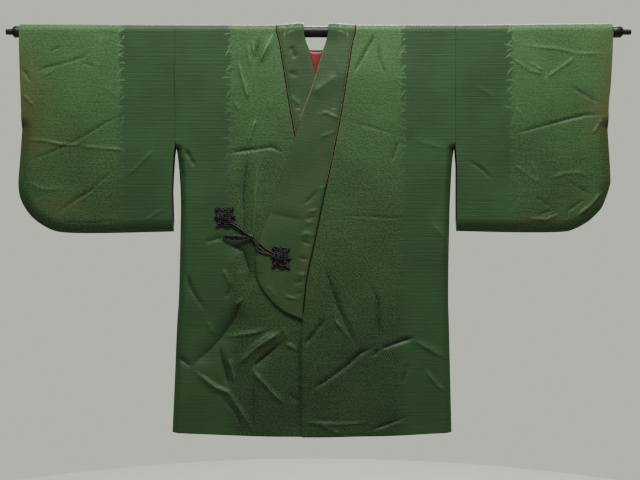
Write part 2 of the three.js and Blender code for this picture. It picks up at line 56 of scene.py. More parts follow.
# ---------------------------------------------------------------- driving dimensions
ROD_RADIUS = 12.5
ROD_EDGE_RADIUS, ROD_EDGE = 12.1, 0.4
ROD_END_X = 655.8
GAP = 0.3
CLOTH = 1.6
BAND = 2.4
LINING = 1.0
LEFT, RIGHT = 1, -1
FRONT, BACK = -1, 1
HAND_NAME = {LEFT: "left", RIGHT: "right"}

# The cloth's inner face rests at REST from the rod's axis. A run is measured along the
# cloth from the rod's top, minus in front, and QUARTER is the run down to the axis.
REST = ROD_RADIUS + 0.4
QUARTER = REST * math.pi / 2
ARC_STEPS = 4
SLEEVE_ARC_PLACES = 17

# How far in from a sewn edge the front and the back stand fully apart.
BODY_DEPTH, SLEEVE_DEPTH = 17.0, 29.0

# A crease: how uneven its height is, the share of it in the sharp crest, how round the
# crest is, the share of its length that each end fades over, and what the ends keep of
# its width and its height.
UNEVEN = 0.22
SHARP = 0.60
ROUND, ROUND_OFF = 1.4, 1.18
FADE = 0.25
END_WIDTH, END_HEIGHT = 0.6, 0.12

# The fine line pressed along a crease: its height, what each mm of the crease adds, and
# its reach. Its mark in the silk, a painted highlight along a ridge and painted shade along
# a trough, is kept as far as MARK_REACH, and is full on a crease about MARK_FULL high.
PRESSED, PRESSED_MORE, PRESSED_REACH = 0.24, 0.06, 4.4
MARK_REACH = 6.0
MARK_LEAST, MARK_FULL = 0.14, 5.5
MARK_EVEN = 0.65

# Creases fade in below the rod. The cloth rises over the rod more towards the cuffs.
ROD_CLEAR, ROD_EASE = 6.0, 40.0
RISE_FROM, RISE_EASE = 300.0, 350.0

# The over front stands off by LAP, from LAP_TOP down over LAP_EASE and as far across as
# LAP_SIDE, where it eases out. The under front's inner edge is drawn aside low down.
LAP, LAP_TOP, LAP_EASE = 4.4, 15.0, 95.0
LAP_SIDE, LAP_SIDE_EASE = 150.0, 120.0
UNDER_DRAW, UNDER_DRAW_TOP, UNDER_DRAW_EASE = 12.0, 300.0, 260.0

# Steps of the cloth's grids in front and behind, of the sleeves' front, of the band, and
# of the thin lines along it. RIM gives the close steps by an edge.
GRID, GRID_BEHIND = 2.5, 4.8
GRID_SLEEVE = 2.3
GRID_BAND, GRID_BAND_BEHIND = 2.6, 4.0
GRID_LINE = 4.0
RIM = np.array([0.0, 0.9, 2.2, 4.0])

# What a turned edge takes off the wall, and how far in.
EDGE_THINNING, EDGE_REACH = 0.05, 1.0

# The turn of a cord's plaits, in radians a mm.
PLAIT_TURN = 2.4

# Side of the body: z, x of the wearer's right edge, x of the left edge.
BODY_SIDE = np.array([
    (REST, -312.2, 307.8), (-249, -310.0, 306.8), (-264, -307.0, 303.0),
    (-325, -301.2, 299.0), (-387, -299.4, 296.1), (-504, -301.4, 293.5),
    (-594, -303.8, 292.6), (-650, -308.2, 294.5), (-762, -312.4, 297.2),
    (-886, -317.9, 300.1),
])
ARMHOLE_Z = -264
HEM_SIDE_Z = -886
HEM_FRONT_Z = -895.6
HEM_DROP, HEM_DROP_FROM, HEM_DROP_EASE = 2.0, 700.0, 180.0

# Behind, below this height, each half of the body keeps to its own side of the centre.
NECK_Z = -20

# Collar band in front: seam x, seam z, free edge x, free edge z. From UPPER_ROW on it has
# a tan edging, and the under band shows from there.
BAND_FRONT = [
    (-29.5, -635, -71, -617), (-29.0, -620, -94, -599), (-27.5, -603, -120, -566),
    (-25.0, -580, -131, -538), (-22.0, -553, -133, -510), (-16.0, -520, -130, -485),
    (-6.4, -478, -120, -448), (3.0, -432, -104, -409), (12.3, -386, -91, -368),
    (22.6, -339, -76, -325), (33.0, -293, -60, -280), (43.5, -240, -44, -228),
    (53.9, -187, -27, -175), (63.5, -127, -6, -119), (72.4, -71, 10, -66),
    (80.0, -25, 21.5, -25),
]
UPPER_ROW = 9
BAND_TOP = (86.2, 27.0)
BAND_BACK = [
    (83, -30, 22, -26), (72, -62, 18, -35.5), (50, -88, 11, -37.8), (25, -100, 5, -38),
]
BAND_CENTRE = (0, -103, 0, -38)
FRONT_EDGE_X = -31.5
FRONT_EDGE_ROWS = (HEM_FRONT_Z, -843, -790, -738, -686)

# Back of the body: height at the side, height at the inner edge.
BACK_SIDE_AT_BAND = (-34, -72, -110, -142)
BACK_SIDE_AT_CENTRE = -172
BACK_ROWS = [
    (-215, -165), (-264, -228), (-325, -300), (-395, -380), (-465, -460), (-540, -540),
    (-615, -620), (-690, -700), (-760, -770), (-825, -835), (HEM_SIDE_Z, HEM_FRONT_Z),
]

# Sleeves: inner edge, outer edge and foot, as x, z.
SLEEVE_RIGHT_EDGES = {
    "inner": [(-312.25, REST), (-310.1, -249), (-314, -278), (-317.7, -351), (-315, -442.6)],
    "outer": [(-655.2, REST), (-653.2, -78), (-649.7, -187), (-655.2, -278), (-659.3, -340),
              (-651.4, -377), (-629.4, -409.6)],
    "foot": [(-315, -442.6), (-476, -446.2), (-560, -444.4), (-596.6, -433.4),
             (-629.4, -409.6)],
}
SLEEVE_LEFT_EDGES = {
    "inner": [(307.85, REST), (306.9, -246), (310.6, -297), (310.6, -441.5)],
    "outer": [(654, REST), (655, -5), (649.9, -114), (645.3, -158), (645.3, -206),
              (651.9, -315), (649.9, -344), (633.6, -388), (619, -404)],
    "foot": [(310.6, -441.5), (440.2, -444.4), (538.8, -443.7), (571.6, -437.1),
             (604.3, -418.9), (619, -404)],
}
CUFF_Z = -215

# ---------------------------------------------------------------- creases
# Each crease: how far it reaches up, how far down, its height (plus is a ridge, minus a
# trough), then x and z of each of its points. The shorter side is the steeper one.
CREASES_SLEEVE_RIGHT = [
    (7, 6, -1.3, -623, -95, -594, -81, -546, -70, -515, -59, -493, -42),
    (6, 6, 0.9, -603, -101, -574, -84),
    (6, 6, -0.9, -590, -48, -559, -33),
    (6, 6, 0.9, -480, -33, -471, -6),
    (7, 6, -0.7, -520, -70, -486, -80),
    (6, 6, 1.7, -642, -240, -603, -242, -559, -251, -515, -251),
    (6, 5, 1.5, -519, -255, -462, -260, -414, -264),
    (8, 6, -1.4, -422, -183, -466, -205, -515, -235, -559, -257, -590, -271, -634, -288),
    (9, 8, -2.0, -449, -310, -493, -350, -528, -372, -572, -403),
    (6, 8, 1.3, -455, -318, -497, -358, -530, -384),
    (6, 9, 1.3, -356, -262, -396, -301, -418, -323),
    (7, 8, 1.1, -339, -394, -378, -420),
    (6, 7, -1.6, -646, -84, -628, -112),
    (7, 7, 1.2, -645, -141, -622, -165),
    (14, 12, 0.9, -640, -330, -600, -350, -548, -346),
    (6, 6, -0.8, -560, -420, -500, -424, -430, -418),
    (13, 13, 0.5, -470, -120, -430, -150),
]
CREASES_SLEEVE_LEFT = [
    (7, 6, 1.1, 446, -32, 530, -40, 581, -51, 609, -51, 640, -50),
    (8, 6, 1.2, 433, -61, 467, -86, 505, -98),
    (5, 5, 1.5, 472, -70, 501, -90),
    (6, 7, 1.3, 505, -105, 574, -57),
    (6, 6, 0.9, 503, -98, 515, -132),
    (7, 6, -1.5, 561, -123, 605, -149, 625, -160),
    (8, 6, -2.1, 435, -227, 483, -215, 537, -200, 593, -186, 637, -185),
    (6, 6, 0.9, 440, -169, 462, -200),
    (6, 7, 1.6, 631, -193, 609, -230),
    (7, 8, -1.9, 334, -286, 361, -301, 390, -328),
    (6, 8, 1.2, 433, -293, 477, -325, 499, -340),
    (6, 6, 0.8, 471, -281, 495, -337),
    (7, 8, 1.3, 515, -325, 546, -315, 581, -312, 605, -325),
    (8, 7, -1.0, 552, -328, 603, -361),
    (6, 6, -1.2, 483, -365, 515, -387),
    (5, 7, 1.9, 467, -413, 508, -416, 539, -402),
    (5, 5, -1.2, 490, -406, 520, -396),
    (8, 6, -1.4, 552, -400, 590, -372),
    (7, 7, 2.6, 574, -409, 605, -385, 625, -362, 637, -352),
    (16, 16, 0.6, 350, -120, 400, -150),
]
CREASES_FRONT = [
    # the wearer's right, down to the fastener
    (8, 7, 2.8, -172, -70, -161, -108, -147, -158),
    (11, 14, 5.6, -90, 4, -108, -34, -127, -76),
    (7, 7, 1.8, -141, -16, -134, -62),
    (8, 8, -2.0, -125, -12, -136, -72),
    (7, 8, 1.4, -152, -28, -143, -82),
    (8, 7, 2.4, -132, -194, -145, -229, -150, -251),
    (6, 6, 1.2, -178, -158, -169, -176),
    (6, 6, 0.9, -106, -145, -99, -176),
    (9, 7, -2.7, -196, -271, -156, -264, -97, -257, -70, -270),
    (9, 9, -2.6, -288, -262, -266, -299),
    (14, 12, -2.4, -303, -278, -290, -332),
    (26, 24, -4.2, -150, -270, -160, -350, -158, -470),
    (16, 18, 2.0, -127, -285, -134, -360, -138, -440),
    (12, 10, -2.3, -244, -466, -205, -455),
    (28, 38, -6.8, -204, -458, -160, -488, -146, -530, -152, -574),
    # the wearer's right, below the fastener
    (11, 11, -2.9, -286, -530, -275, -570, -260, -592, -242, -618),
    (34, 42, -9.1, -161, -592, -187, -645, -209, -675, -238, -706, -275, -739),
    (6, 7, 3.1, -160, -588, -178, -607),
    (17, 13, -4.1, -305, -720, -275, -739),
    (8, 15, 4.8, -272, -746, -220, -785, -193, -796, -163, -838, -139, -880),
    (13, 11, -5.7, -214, -697, -204, -735, -191, -788),
    (9, 9, 3.6, -192, -718, -184, -748, -178, -776),
    (17, 15, 6.0, -73, -660, -128, -695, -176, -737),
    (10, 23, -5.7, -70, -682, -106, -713, -145, -746),
    (8, 14, 5.0, -141, -746, -106, -785, -66, -825),
    (9, 10, 3.6, -66, -689, -36, -706),
    (10, 9, 3.1, -207, -675, -145, -667, -99, -656),
    (8, 8, -1.9, -139, -756, -137, -880),
    (11, 10, 2.2, -205, -525, -188, -560),
    (10, 11, -2.2, -186, -560, -200, -590),
    (13, 11, -2.2, -66, -800, -34, -818),
    (7, 8, 1.9, -72, -652, -60, -684),
    (8, 7, 2.1, -98, -664, -150, -702),
    (9, 9, 1.5, -240, -640, -222, -672),
    (8, 8, -1.4, -120, -760, -110, -800),
    (9, 9, -1.9, -214, -800, -178, -840, -160, -884),
    (12, 12, -2.9, -38, -650, -37, -760, -38, -890),
    # the wearer's left, below the band
    (12, 12, -4.3, 20, -520, 35, -568, 52, -614, 72, -660, 95, -702),
    (8, 9, 3.3, 37, -631, 79, -682),
    (11, 10, -4.0, -29, -697, -2, -664, 20, -634),
    (13, 8, -4.8, -11, -792, 13, -777, 64, -741, 97, -711, 132, -695),
    (7, 7, -3.3, 128, -717, 136, -700),
    (11, 8, -4.6, 139, -702, 183, -686, 218, -675),
    (10, 12, -3.3, 117, -552, 136, -594, 141, -689),
    (18, 11, 3.2, 214, -680, 290, -724),
    (8, 10, 3.2, 236, -741, 268, -781, 293, -799),
    (10, 10, -2.2, 202, -730, 189, -779),
    (7, 11, 2.2, -29, -862, 50, -866, 117, -862),
    (10, 7, -2.9, 119, -880, 158, -866, 202, -849),
    (9, 10, 2.6, 9, -866, 57, -889),
    # the wearer's left, above
    (9, 7, -2.8, 134, 4, 116, -34, 82, -96),
    (7, 6, -1.7, 137, -26, 141, -68, 156, -104),
    (6, 5, -0.6, 66, -199, 119, -212, 190, -234),
    (7, 7, -1.8, 180, -244, 167, -288),
    (5, 5, -0.7, 40, -407, 101, -409, 200, -414),
    (16, 12, 0.6, 214, -240, 290, -262),
    (20, 20, 1.6, 250, -420, 290, -460, 296, -520),
]
# On the over band: puckers and hollows by its seam, and a ridge below the neck.
CREASES_BAND = [
    (24, 34, 2.3, -12, -142, 14, -122, 48, -98),
    (6, 9, 1.7, 14, -180, 34, -186, 52, -196),
    (6, 8, 0.9, 6, -236, 44, -222),
    (6, 9, 1.2, 8, -350, 22, -342),
    (7, 6, -1.9, -30, -384, -14, -373, 4, -352),
    (5, 6, 1.6, -20, -400, 4, -395),
    (5, 6, -1.5, -22, -414, -2, -410),
    (5, 6, 1.2, -24, -425, -6, -421),
    (8, 8, -1.9, -32, -464, -12, -470),
    (8, 14, 2.1, -36, -454, -22, -446, -4, -452),
    (7, 7, -1.8, -38, -500, -16, -505),
    (8, 9, -1.8, -48, -557, -28, -550),
    (7, 8, -1.4, -44, -580, -29, -575),
    (5, 10, 1.9, -40, -537, -20, -537),
    (9, 8, 1.8, -70, -584, -40, -592),
    (26, 34, -2.0, -106, -402, -66, -410, -26, -418),
    (10, 10, 0.9, -108, -560, -88, -586),
    (6, 6, 0.7, 2, -186, 30, -180),
    (7, 7, 0.7, 46, -60, 49, -100),
]
# On the under band, which shows above the crossing.
CREASES_BAND_UNDER = [
    (14, 14, -2.4, -56, -34, -44, -62),
    (13, 13, -1.8, -62, -92, -40, -98),
    (9, 12, 1.2, -56, -146, -34, -164),
]
CREASES_BACK = [
    (30, 18, -6.0, -60, -560, -130, -640, -200, -700),
    (18, 9, -5.0, -90, -800, -180, -750, -250, -720),
    (16, 12, -3.6, -240, -300, -180, -370, -120, -420),
    (16, 30, 5.4, 60, -520, 140, -600, 210, -660),
    (18, 10, -5.0, 70, -780, 150, -730, 240, -700),
    (12, 18, 3.6, 230, -290, 170, -370, 110, -430),
    (12, 16, 3.2, -280, -480, -220, -530, -180, -600),
    (16, 12, -3.2, 270, -520, 225, -570, 190, -650),
    (10, 9, -2.4, -40, -200, -90, -250),
    (9, 10, 2.4, 60, -160, 120, -200),
    (10, 14, 3.0, -290, -820, -220, -850, -150, -870),
    (14, 9, -3.0, 280, -800, 210, -835, 130, -850),
    (14, 14, 2.4, -30, -440, -22, -520, -40, -600),
    (9, 9, 2.0, -200, -90, -215, -160),
    (9, 9, -2.0, 200, -60, 188, -140),
    (10, 8, -2.4, 30, -300, 90, -310, 180, -300),
    (12, 16, 3.4, -150, -620, -60, -680),
]
CREASES_SLEEVE_BACK_RIGHT = [
    (12, 7, -3.2, -645, -120, -560, -140, -470, -150),
    (9, 12, 3.0, -640, -260, -560, -300, -480, -360),
    (8, 9, 2.0, -350, -180, -420, -240),
    (12, 8, -2.6, -600, -380, -540, -345, -450, -330),
    (8, 9, 2.0, -400, -410, -470, -395),
    (9, 7, -2.0, -560, -60, -500, -90, -440, -80),
    (8, 8, 2.0, -610, -180, -580, -225),
]
CREASES_SLEEVE_BACK = [
    (18, 8, -5.0, 640, -180, 520, -215, 430, -250),
    (12, 16, 4.2, 560, -395, 490, -345, 420, -300),
    (12, 9, 3.2, 640, -90, 560, -60, 500, -50),
    (10, 12, -2.4, 360, -200, 420, -150),
    (9, 12, 3.0, 370, -420, 450, -400, 520, -412),
    (12, 10, 2.8, 600, -300, 560, -270, 500, -290),
    (10, 9, -2.4, 600, -120, 560, -150, 520, -140),
]


# ---------------------------------------------------------------- curves in the flat cloth
def smooth(value):
    """0 below 0, 1 above 1, and an even S between."""
    held = np.clip(value, 0.0, 1.0)
    return held * held * (3 - 2 * held)


def lengths(vectors):
    return np.hypot(vectors[..., 0], vectors[..., 1])


def distances(points):
    """How far along a line of points each of them lies."""
    return np.concatenate([[0], np.cumsum(lengths(np.diff(points, axis=0)))])


def height_at(run):
    """The height of a place in the hanging cloth."""
    return QUARTER - np.abs(run)


def run_at(z, face):
    """The run along the cloth to a height, in front or behind."""
    z = np.asarray(z, float)
    bent = np.arccos(np.clip(z / REST, -1, 1)) * REST
    return face * np.where(z >= 0, bent, QUARTER - z)


def edge_x(edge, z):
    """x on an edge given as (x, z) points that go down."""
    points = np.array(edge)[::-1]
    return np.interp(z, points[:, 1], points[:, 0])


def side_x(z, hand):
    column = 1 if hand == RIGHT else 2
    return np.interp(z, BODY_SIDE[::-1, 0], BODY_SIDE[::-1, column])


def line_distance(points, x, z):
    """Distance to a line of points, how far along it (0 to 1) and on which side."""
    points = np.array(points, float)
    steps = lengths(np.diff(points, axis=0))
    starts = np.concatenate([[0], np.cumsum(steps)])
    nearest = np.full(x.shape, np.inf)
    along = np.zeros(x.shape)
    side = np.zeros(x.shape)
    for i, step in enumerate(steps):
        dx, dz = (points[i + 1] - points[i]) / step
        ahead = np.clip((x - points[i, 0]) * dx + (z - points[i, 1]) * dz, 0, step)
        off_x = x - points[i, 0] - ahead * dx
        off_z = z - points[i, 1] - ahead * dz
        away = np.hypot(off_x, off_z)
        closer = away < nearest
        nearest = np.where(closer, away, nearest)
        along = np.where(closer, (starts[i] + ahead) / starts[-1], along)
        turn = 1 if dx >= 0 else -1
        side = np.where(closer, np.sign(turn * (off_z * dx - off_x * dz) + 1e-9), side)
    return nearest, along, side


def near_creases(creases, x, z):
    """Each crease that passes by: the places near it, their line distance and its form."""
    for up, down, high, *numbers in creases:
        points = np.reshape(numbers, (-1, 2))
        wide = max(up, down, MARK_REACH)
        low, top = np.min(points, axis=0) - wide, np.max(points, axis=0) + wide
        close = (x > low[0]) & (x < top[0]) & (z > low[1]) & (z < top[1])
        if close.any():
            away, along, side = line_distance(points, x[close], z[close])
            ends = smooth(along / FADE) * smooth((1 - along) / FADE)
            yield close, away, along, side, ends, up, down, high


def crease_lift(creases, x, z):
    """How far creases raise the cloth, in millimetres."""
    lift = np.zeros(x.shape)
    for close, away, along, side, ends, up, down, high in near_creases(creases, x, z):
        uneven = 1 + UNEVEN * np.sin(along * 9 + high * 5)
        reach = np.where(side < 0, down, up) * (END_WIDTH + (1 - END_WIDTH) * ends)
        near = np.clip(1 - (np.sqrt(away ** 2 + ROUND) - ROUND_OFF) / reach, 0, 1)
        crest = SHARP * near ** 4 + (1 - SHARP) * smooth(near)
        pressed = np.sign(high) * PRESSED + PRESSED_MORE * high
        pressed *= np.clip(1 - away / PRESSED_REACH, 0, 1) ** 1.5
        full = high * uneven * crest
        lift[close] += full * (END_HEIGHT + (1 - END_HEIGHT) * ends) + pressed * ends
    return lift


def crease_marks(creases, x, z):
    """For the silk's painted crease shading: signed distance to the nearest crease, how
    strongly its line is painted (lighter on a ridge, darker in a trough), and the lift,
    which paints troughs darker and ridges lighter.
    """
    nearest = np.full(x.shape, MARK_REACH)
    marks = np.zeros(x.shape + (3,))
    for close, away, along, side, ends, up, down, high in near_creases(creases, x, z):
        closer = away < nearest[close]
        chosen = tuple(axis[closer] for axis in np.nonzero(close))
        nearest[chosen] = away[closer]
        marks[chosen + (0,)] = (side * away)[closer] * MM
        mark_unevenness = MARK_EVEN + (1 - MARK_EVEN) * np.sin(along * 17 + high * 3)
        depth = math.copysign(min(1.0, MARK_LEAST + abs(high) / MARK_FULL), high)
        marks[chosen + (1,)] = (depth * ends * mark_unevenness)[closer]
    marks[..., 2] = crease_lift(creases, x, z) * MM
    return marks


def drape(x, z, seed):
    """The cloth's soft unevenness between its creases: slow waves, and flutes low down."""
    down = smooth((-z - 30) / 150)
    slow = (np.sin(x / 61 + z / 143 + seed) * np.sin(z / 97 - x / 190 + 2.1 * seed)
            + 0.6 * np.sin(x / 33 - z / 71 + 1.7 * seed) * np.sin(z / 49 + 0.6 * seed))
    flutes = np.sin(x / 24 + 0.9 * np.sin(x / 70) + seed) * smooth((-z - 560) / 330)
    return down * (1.1 * slow + 1.3 * flutes)


def over_lap(x, z):
    down = smooth((-z - LAP_TOP) / LAP_EASE)
    across = 1 - smooth((x - LAP_SIDE) / LAP_SIDE_EASE)
    return LAP * down * across


def form(part, face, x, z):
    """How far the inner face of a piece of cloth hangs from the middle plane."""
    if part["sewn"] is not None:
        parted = np.clip(line_distance(part["sewn"], x, z)[0] / part["depth"], 0, 1)
    else:
        parted = np.ones(x.shape)
    opened = np.sin(parted * math.pi / 2)
    creases = part["front"] if face == FRONT else part["back"]
    seed = part["seed"] + (0.0 if face == FRONT else 3.3)
    below_rod = smooth((-z - ROD_CLEAR) / ROD_EASE)
    folds = crease_lift(creases, x, z) * below_rod + drape(x, z, seed)
    lap = over_lap(x, z) if part["over"] and face == FRONT else 0.0
    return GAP / 2 + (REST - GAP / 2) * opened + lap + folds * opened


def hang(part, x, run, out):
    """Places in the flat cloth, hung over the rod. out is measured from its inner face."""
    fall = np.abs(run)
    angle = np.clip(run / REST, -math.pi / 2, math.pi / 2)
    near, far = part["rise"]
    rise = near + (far - near) * smooth((np.abs(x) - RISE_FROM) / RISE_EASE)
    z = np.where(fall <= QUARTER, np.cos(angle) * (REST + out + rise), QUARTER - fall)
    y = np.sin(angle) * (REST + out)
    for face in (FRONT, BACK):
        hanging = (fall > QUARTER) & (np.sign(run) == face)
        if hanging.any():
            stand = form(part, face, x[hanging], z[hanging])
            y[hanging] = face * (stand + np.broadcast_to(out, x.shape)[hanging])
    return np.stack([x, y, z], axis=-1) * MM


def smooth_rows(controls, spacing=GRID, behind=GRID):
    """Catmull-Rom rows between control rows, each a flat list of numbers."""
    controls = np.array(controls, float)
    count = len(controls)
    padded = np.vstack([2 * controls[0] - controls[1], controls,
                        2 * controls[-1] - controls[-2]])
    rows = []
    for i in range(count - 1):
        before, start, end, after = padded[i:i + 4]
        length = max(np.hypot(end[k] - start[k], end[k + 1] - start[k + 1])
                     for k in range(0, controls.shape[1], 2))
        steps = max(1, math.ceil(length / (spacing if start[1] < QUARTER else behind)))
        for t in np.arange(steps) / steps:
            rows.append(0.5 * (2 * start + (end - before) * t
                               + (2 * before - 5 * start + 4 * end - after) * t ** 2
                               + (3 * start - before - 3 * end + after) * t ** 3))
    rows.append(controls[-1])
    return np.array(rows)


# ---------------------------------------------------------------- the parts' forms
def side_line(hand):
    rows = BODY_SIDE[BODY_SIDE[:, 0] <= ARMHOLE_Z]
    return list(zip(rows[:, 1 if hand == RIGHT else 2], rows[:, 0]))


def rounded(sleeve):
    """The sleeve with its foot and outer edge drawn as one smooth curve."""
    outline = smooth_rows(sleeve["foot"] + sleeve["outer"][::-1][1:], 6.0)
    corner = np.argmin(lengths(outline - sleeve["foot"][-1]))
    return {"inner": sleeve["inner"],
            "foot": [tuple(point) for point in outline[:corner + 1]],
            "outer": [tuple(point) for point in outline[corner:][::-1]]}


def sleeve_line(sleeve):
    lower = [point for point in sleeve["outer"] if point[1] < CUFF_Z]
    return (sleeve["foot"] + lower[::-1][1:]
            + [(float(edge_x(sleeve["outer"], CUFF_Z)), CUFF_Z)])


def coat_form(sewn, depth, front, back, seed, rise=(1.0, 1.0), over=False):
    """How a piece hangs: sewn line, creases, and its rise over the rod near and far out."""
    return {"sewn": sewn, "depth": depth, "front": front, "back": back, "seed": seed,
            "rise": rise, "over": over}


SLEEVE_RIGHT = rounded(SLEEVE_RIGHT_EDGES)
SLEEVE_LEFT = rounded(SLEEVE_LEFT_EDGES)
UNDER = coat_form(side_line(RIGHT), BODY_DEPTH, CREASES_FRONT, CREASES_BACK, 0.4)
OVER = coat_form(side_line(LEFT), BODY_DEPTH, CREASES_FRONT, CREASES_BACK, 0.4, over=True)
BODY_FORM = {RIGHT: UNDER, LEFT: OVER}
SLEEVE_FORM_RIGHT = coat_form(sleeve_line(SLEEVE_RIGHT), SLEEVE_DEPTH, CREASES_SLEEVE_RIGHT,
                              CREASES_SLEEVE_BACK_RIGHT, 1.9, (1.0, 2.2))
SLEEVE_FORM_LEFT = coat_form(sleeve_line(SLEEVE_LEFT), SLEEVE_DEPTH, CREASES_SLEEVE_LEFT,
                             CREASES_SLEEVE_BACK, 4.2, (1.0, 4.4))
FLAT_FORM = coat_form(None, None, [], [], 0.0, (0.0, 0.0))


# ---------------------------------------------------------------- mesh code
def step_count(width, spacing):
    return max(2, round(width / spacing))


def across_steps(width, count):
    """Distances across a piece: close steps at both edges, even ones between."""
    middle = RIM[-1] + np.linspace(0, 1, count)[1:-1] * (width - 2 * RIM[-1])
    return np.concatenate([RIM, middle, width - RIM[::-1]])


def columns_between(start, end, spacing=GRID):
    """A grid of places from start to end, which are rows of x and run."""
    widths = lengths(end - start)
    count = step_count(float(np.median(widths)), spacing)
    return np.array([a + (b - a) * (across_steps(width, count) / width)[:, None]
                     for a, b, width in zip(start, end, widths)])


def edge_distance(grid):
    """How far each place of a grid lies from its nearest long edge."""
    return np.minimum(lengths(grid - grid[:, :1]), lengths(grid - grid[:, -1:]))


def add_object(name, data):
    thing = bpy.data.objects.new(name, data)
    bpy.context.scene.collection.objects.link(thing)
    return thing


def mesh_object(name, points, faces, materials, inner_faces=0, attributes=None):
    """A smooth mesh. Its first inner_faces have the second material."""
    mesh = bpy.data.meshes.new(name)
    mesh.from_pydata(points.tolist(), [], faces)
    for material in materials:
        mesh.materials.append(material)
    if inner_faces:
        index = np.zeros(len(faces), np.int32)
        index[:inner_faces] = 1
        mesh.polygons.foreach_set("material_index", index)
    mesh.polygons.foreach_set("use_smooth", np.ones(len(faces), bool))
    for key, values in (attributes or {}).items():
        kind, field = ("FLOAT_VECTOR", "vector") if values.ndim == 2 else ("FLOAT", "value")
        layer = mesh.attributes.new(key, kind, "POINT")
        layer.data.foreach_set(field, values.astype(np.float32).ravel())
    mesh.update()
    return add_object(name, mesh)


def every_other(count):
    return sorted({*range(0, count, 2), count - 1})


def rim_faces(outer, picks, inner, turn):
    """Faces between a dense edge and the sparse one beneath it."""
    faces = []
    for k in range(len(picks) - 1):
        upper = [int(i) for i in outer[picks[k]:picks[k + 1] + 1]]
        lower = [int(inner[k]), int(inner[k + 1])]
        faces.append(upper[::-1] + lower if turn else upper + lower[::-1])
    return faces


def shell(name, outer, inner, materials, attributes):
    """A closed wall between two grids of places. Its inner skin has every other one."""
    rows, columns = outer.shape[:2]
    pick_rows, pick_columns = every_other(rows), every_other(columns)
    picked = np.ix_(pick_rows, pick_columns)
    index = np.arange(rows * columns).reshape(rows, columns)
    below = rows * columns + np.arange(picked[0].size * picked[1].size)
    below = below.reshape(len(pick_rows), len(pick_columns))

    def quads(grid):
        return np.stack([grid[:-1, :-1], grid[:-1, 1:], grid[1:, 1:], grid[1:, :-1]],
                        axis=-1).reshape(-1, 4)

    def listed(values, inner_values):
        form = (-1,) + values.shape[2:]
        return np.concatenate([values.reshape(form), inner_values[picked].reshape(form)])

    top = quads(index)
    under = quads(below)[:, ::-1]
    rims = (rim_faces(index[0], pick_columns, below[0], True)
            + rim_faces(index[-1], pick_columns, below[-1], False)
            + rim_faces(index[:, 0], pick_rows, below[:, 0], False)
            + rim_faces(index[:, -1], pick_rows, below[:, -1], True))
    points = listed(outer, inner)
    volume = 0.0
    for a, b, c in ((0, 1, 2), (0, 2, 3)):
        corner = points[np.concatenate([under, top])[:, [a, b, c]]]
        volume += np.einsum("ij,ij->i", corner[:, 0],
                            np.cross(corner[:, 1], corner[:, 2])).sum()
    faces = under.tolist() + top.tolist() + rims
    if volume < 0:
        faces = [face[::-1] for face in faces]
    values = {key: listed(value, value) for key, value in attributes.items()}
    return mesh_object(name, points, faces, materials, len(under), values)


def cloth(name, grid, parts, outs, materials, flat=None, extra=None):
    """A piece of cloth over a grid of places; parts gives the form for each row."""
    x, run = grid[..., 0], grid[..., 1]
    outer = np.zeros(grid.shape[:2] + (3,))
    inner = np.zeros_like(outer)
    marks = np.zeros(grid.shape[:2] + (3,))
    for part in {id(p): p for p in parts}.values():
        rows = np.array([p is part for p in parts])
        z = height_at(run[rows])
        marks[rows] = np.where((run[rows] < 0)[..., None],
                               crease_marks(part["front"], x[rows], z),
                               crease_marks(part["back"], x[rows], z))
        outer[rows] = hang(part, x[rows], run[rows], outs[0][rows])
        inner[rows] = hang(part, x[rows], run[rows], outs[1][rows])
    spread = np.stack([x, run, np.zeros_like(x)], axis=-1) if flat is None else flat
    attributes = {"flat": spread * MM, "crease": marks, **(extra or {})}
    return shell(name, outer, inner, materials, attributes)


def ring_faces(count, sides, closed=False):
    """Faces of a row of rings. An open row ends in fans round two more points."""
    index = np.arange(count * sides).reshape(count, sides)
    if closed:
        index = np.vstack([index, index[:1]])
    after = np.roll(index, -1, axis=1)
    faces = np.stack([index[:-1], after[:-1], after[1:], index[1:]], axis=-1)
    faces = faces.reshape(-1, 4).tolist()
    if not closed:
        first, last = count * sides, count * sides + 1
        faces += [[first, int(b), int(a)] for a, b in zip(index[0], after[0])]
        faces += [[last, int(a), int(b)] for a, b in zip(index[-1], after[-1])]
    return faces


def tube(path, radius, sides, closed=False, braid=0.0):
    """Points, faces and flat places of a round cord along a path in millimetres.

    braid is how far its plaits stand out, as a share of the radius.
    """
    path = np.array(path, float)
    ahead = np.roll(path, -1, axis=0) - np.roll(path, 1, axis=0)
    if not closed:
        ahead[0], ahead[-1] = path[1] - path[0], path[-1] - path[-2]
    ahead /= np.linalg.norm(ahead, axis=1)[:, None]
    normal = np.cross(ahead[0], (0.0, 1.0, 0.0))
    if np.linalg.norm(normal) < 0.1:
        normal = np.cross(ahead[0], (0.0, 0.0, 1.0))
    normals = []
    for direction in ahead:
        normal = normal - direction * normal.dot(direction)
        normal /= np.linalg.norm(normal)
        normals.append(normal)
    normals = np.array(normals)
    binormals = np.cross(ahead, normals)
    steps = np.linalg.norm(np.diff(path, axis=0), axis=1)
    along = np.concatenate([[0], np.cumsum(steps)])[:, None]
    around = np.arange(sides)[None] / sides * 2 * math.pi
    plait = 1 + braid * (np.sin(2 * around + along * PLAIT_TURN)
                         * np.sin(2 * around - along * PLAIT_TURN))
    radii = radius * plait
    rings = (path[:, None] + (normals[:, None] * np.cos(around)[..., None]
                              + binormals[:, None] * np.sin(around)[..., None])
             * radii[..., None])
    points = rings.reshape(-1, 3)
    flat = np.stack(np.broadcast_arrays(around * radius, along, 0.0), axis=-1).reshape(-1, 3)
    if not closed:
        points = np.concatenate([points, path[[0, -1]]])
        flat = np.concatenate([flat, flat[[0, -1]]])
    return points * MM, ring_faces(len(path), sides, closed), flat * MM


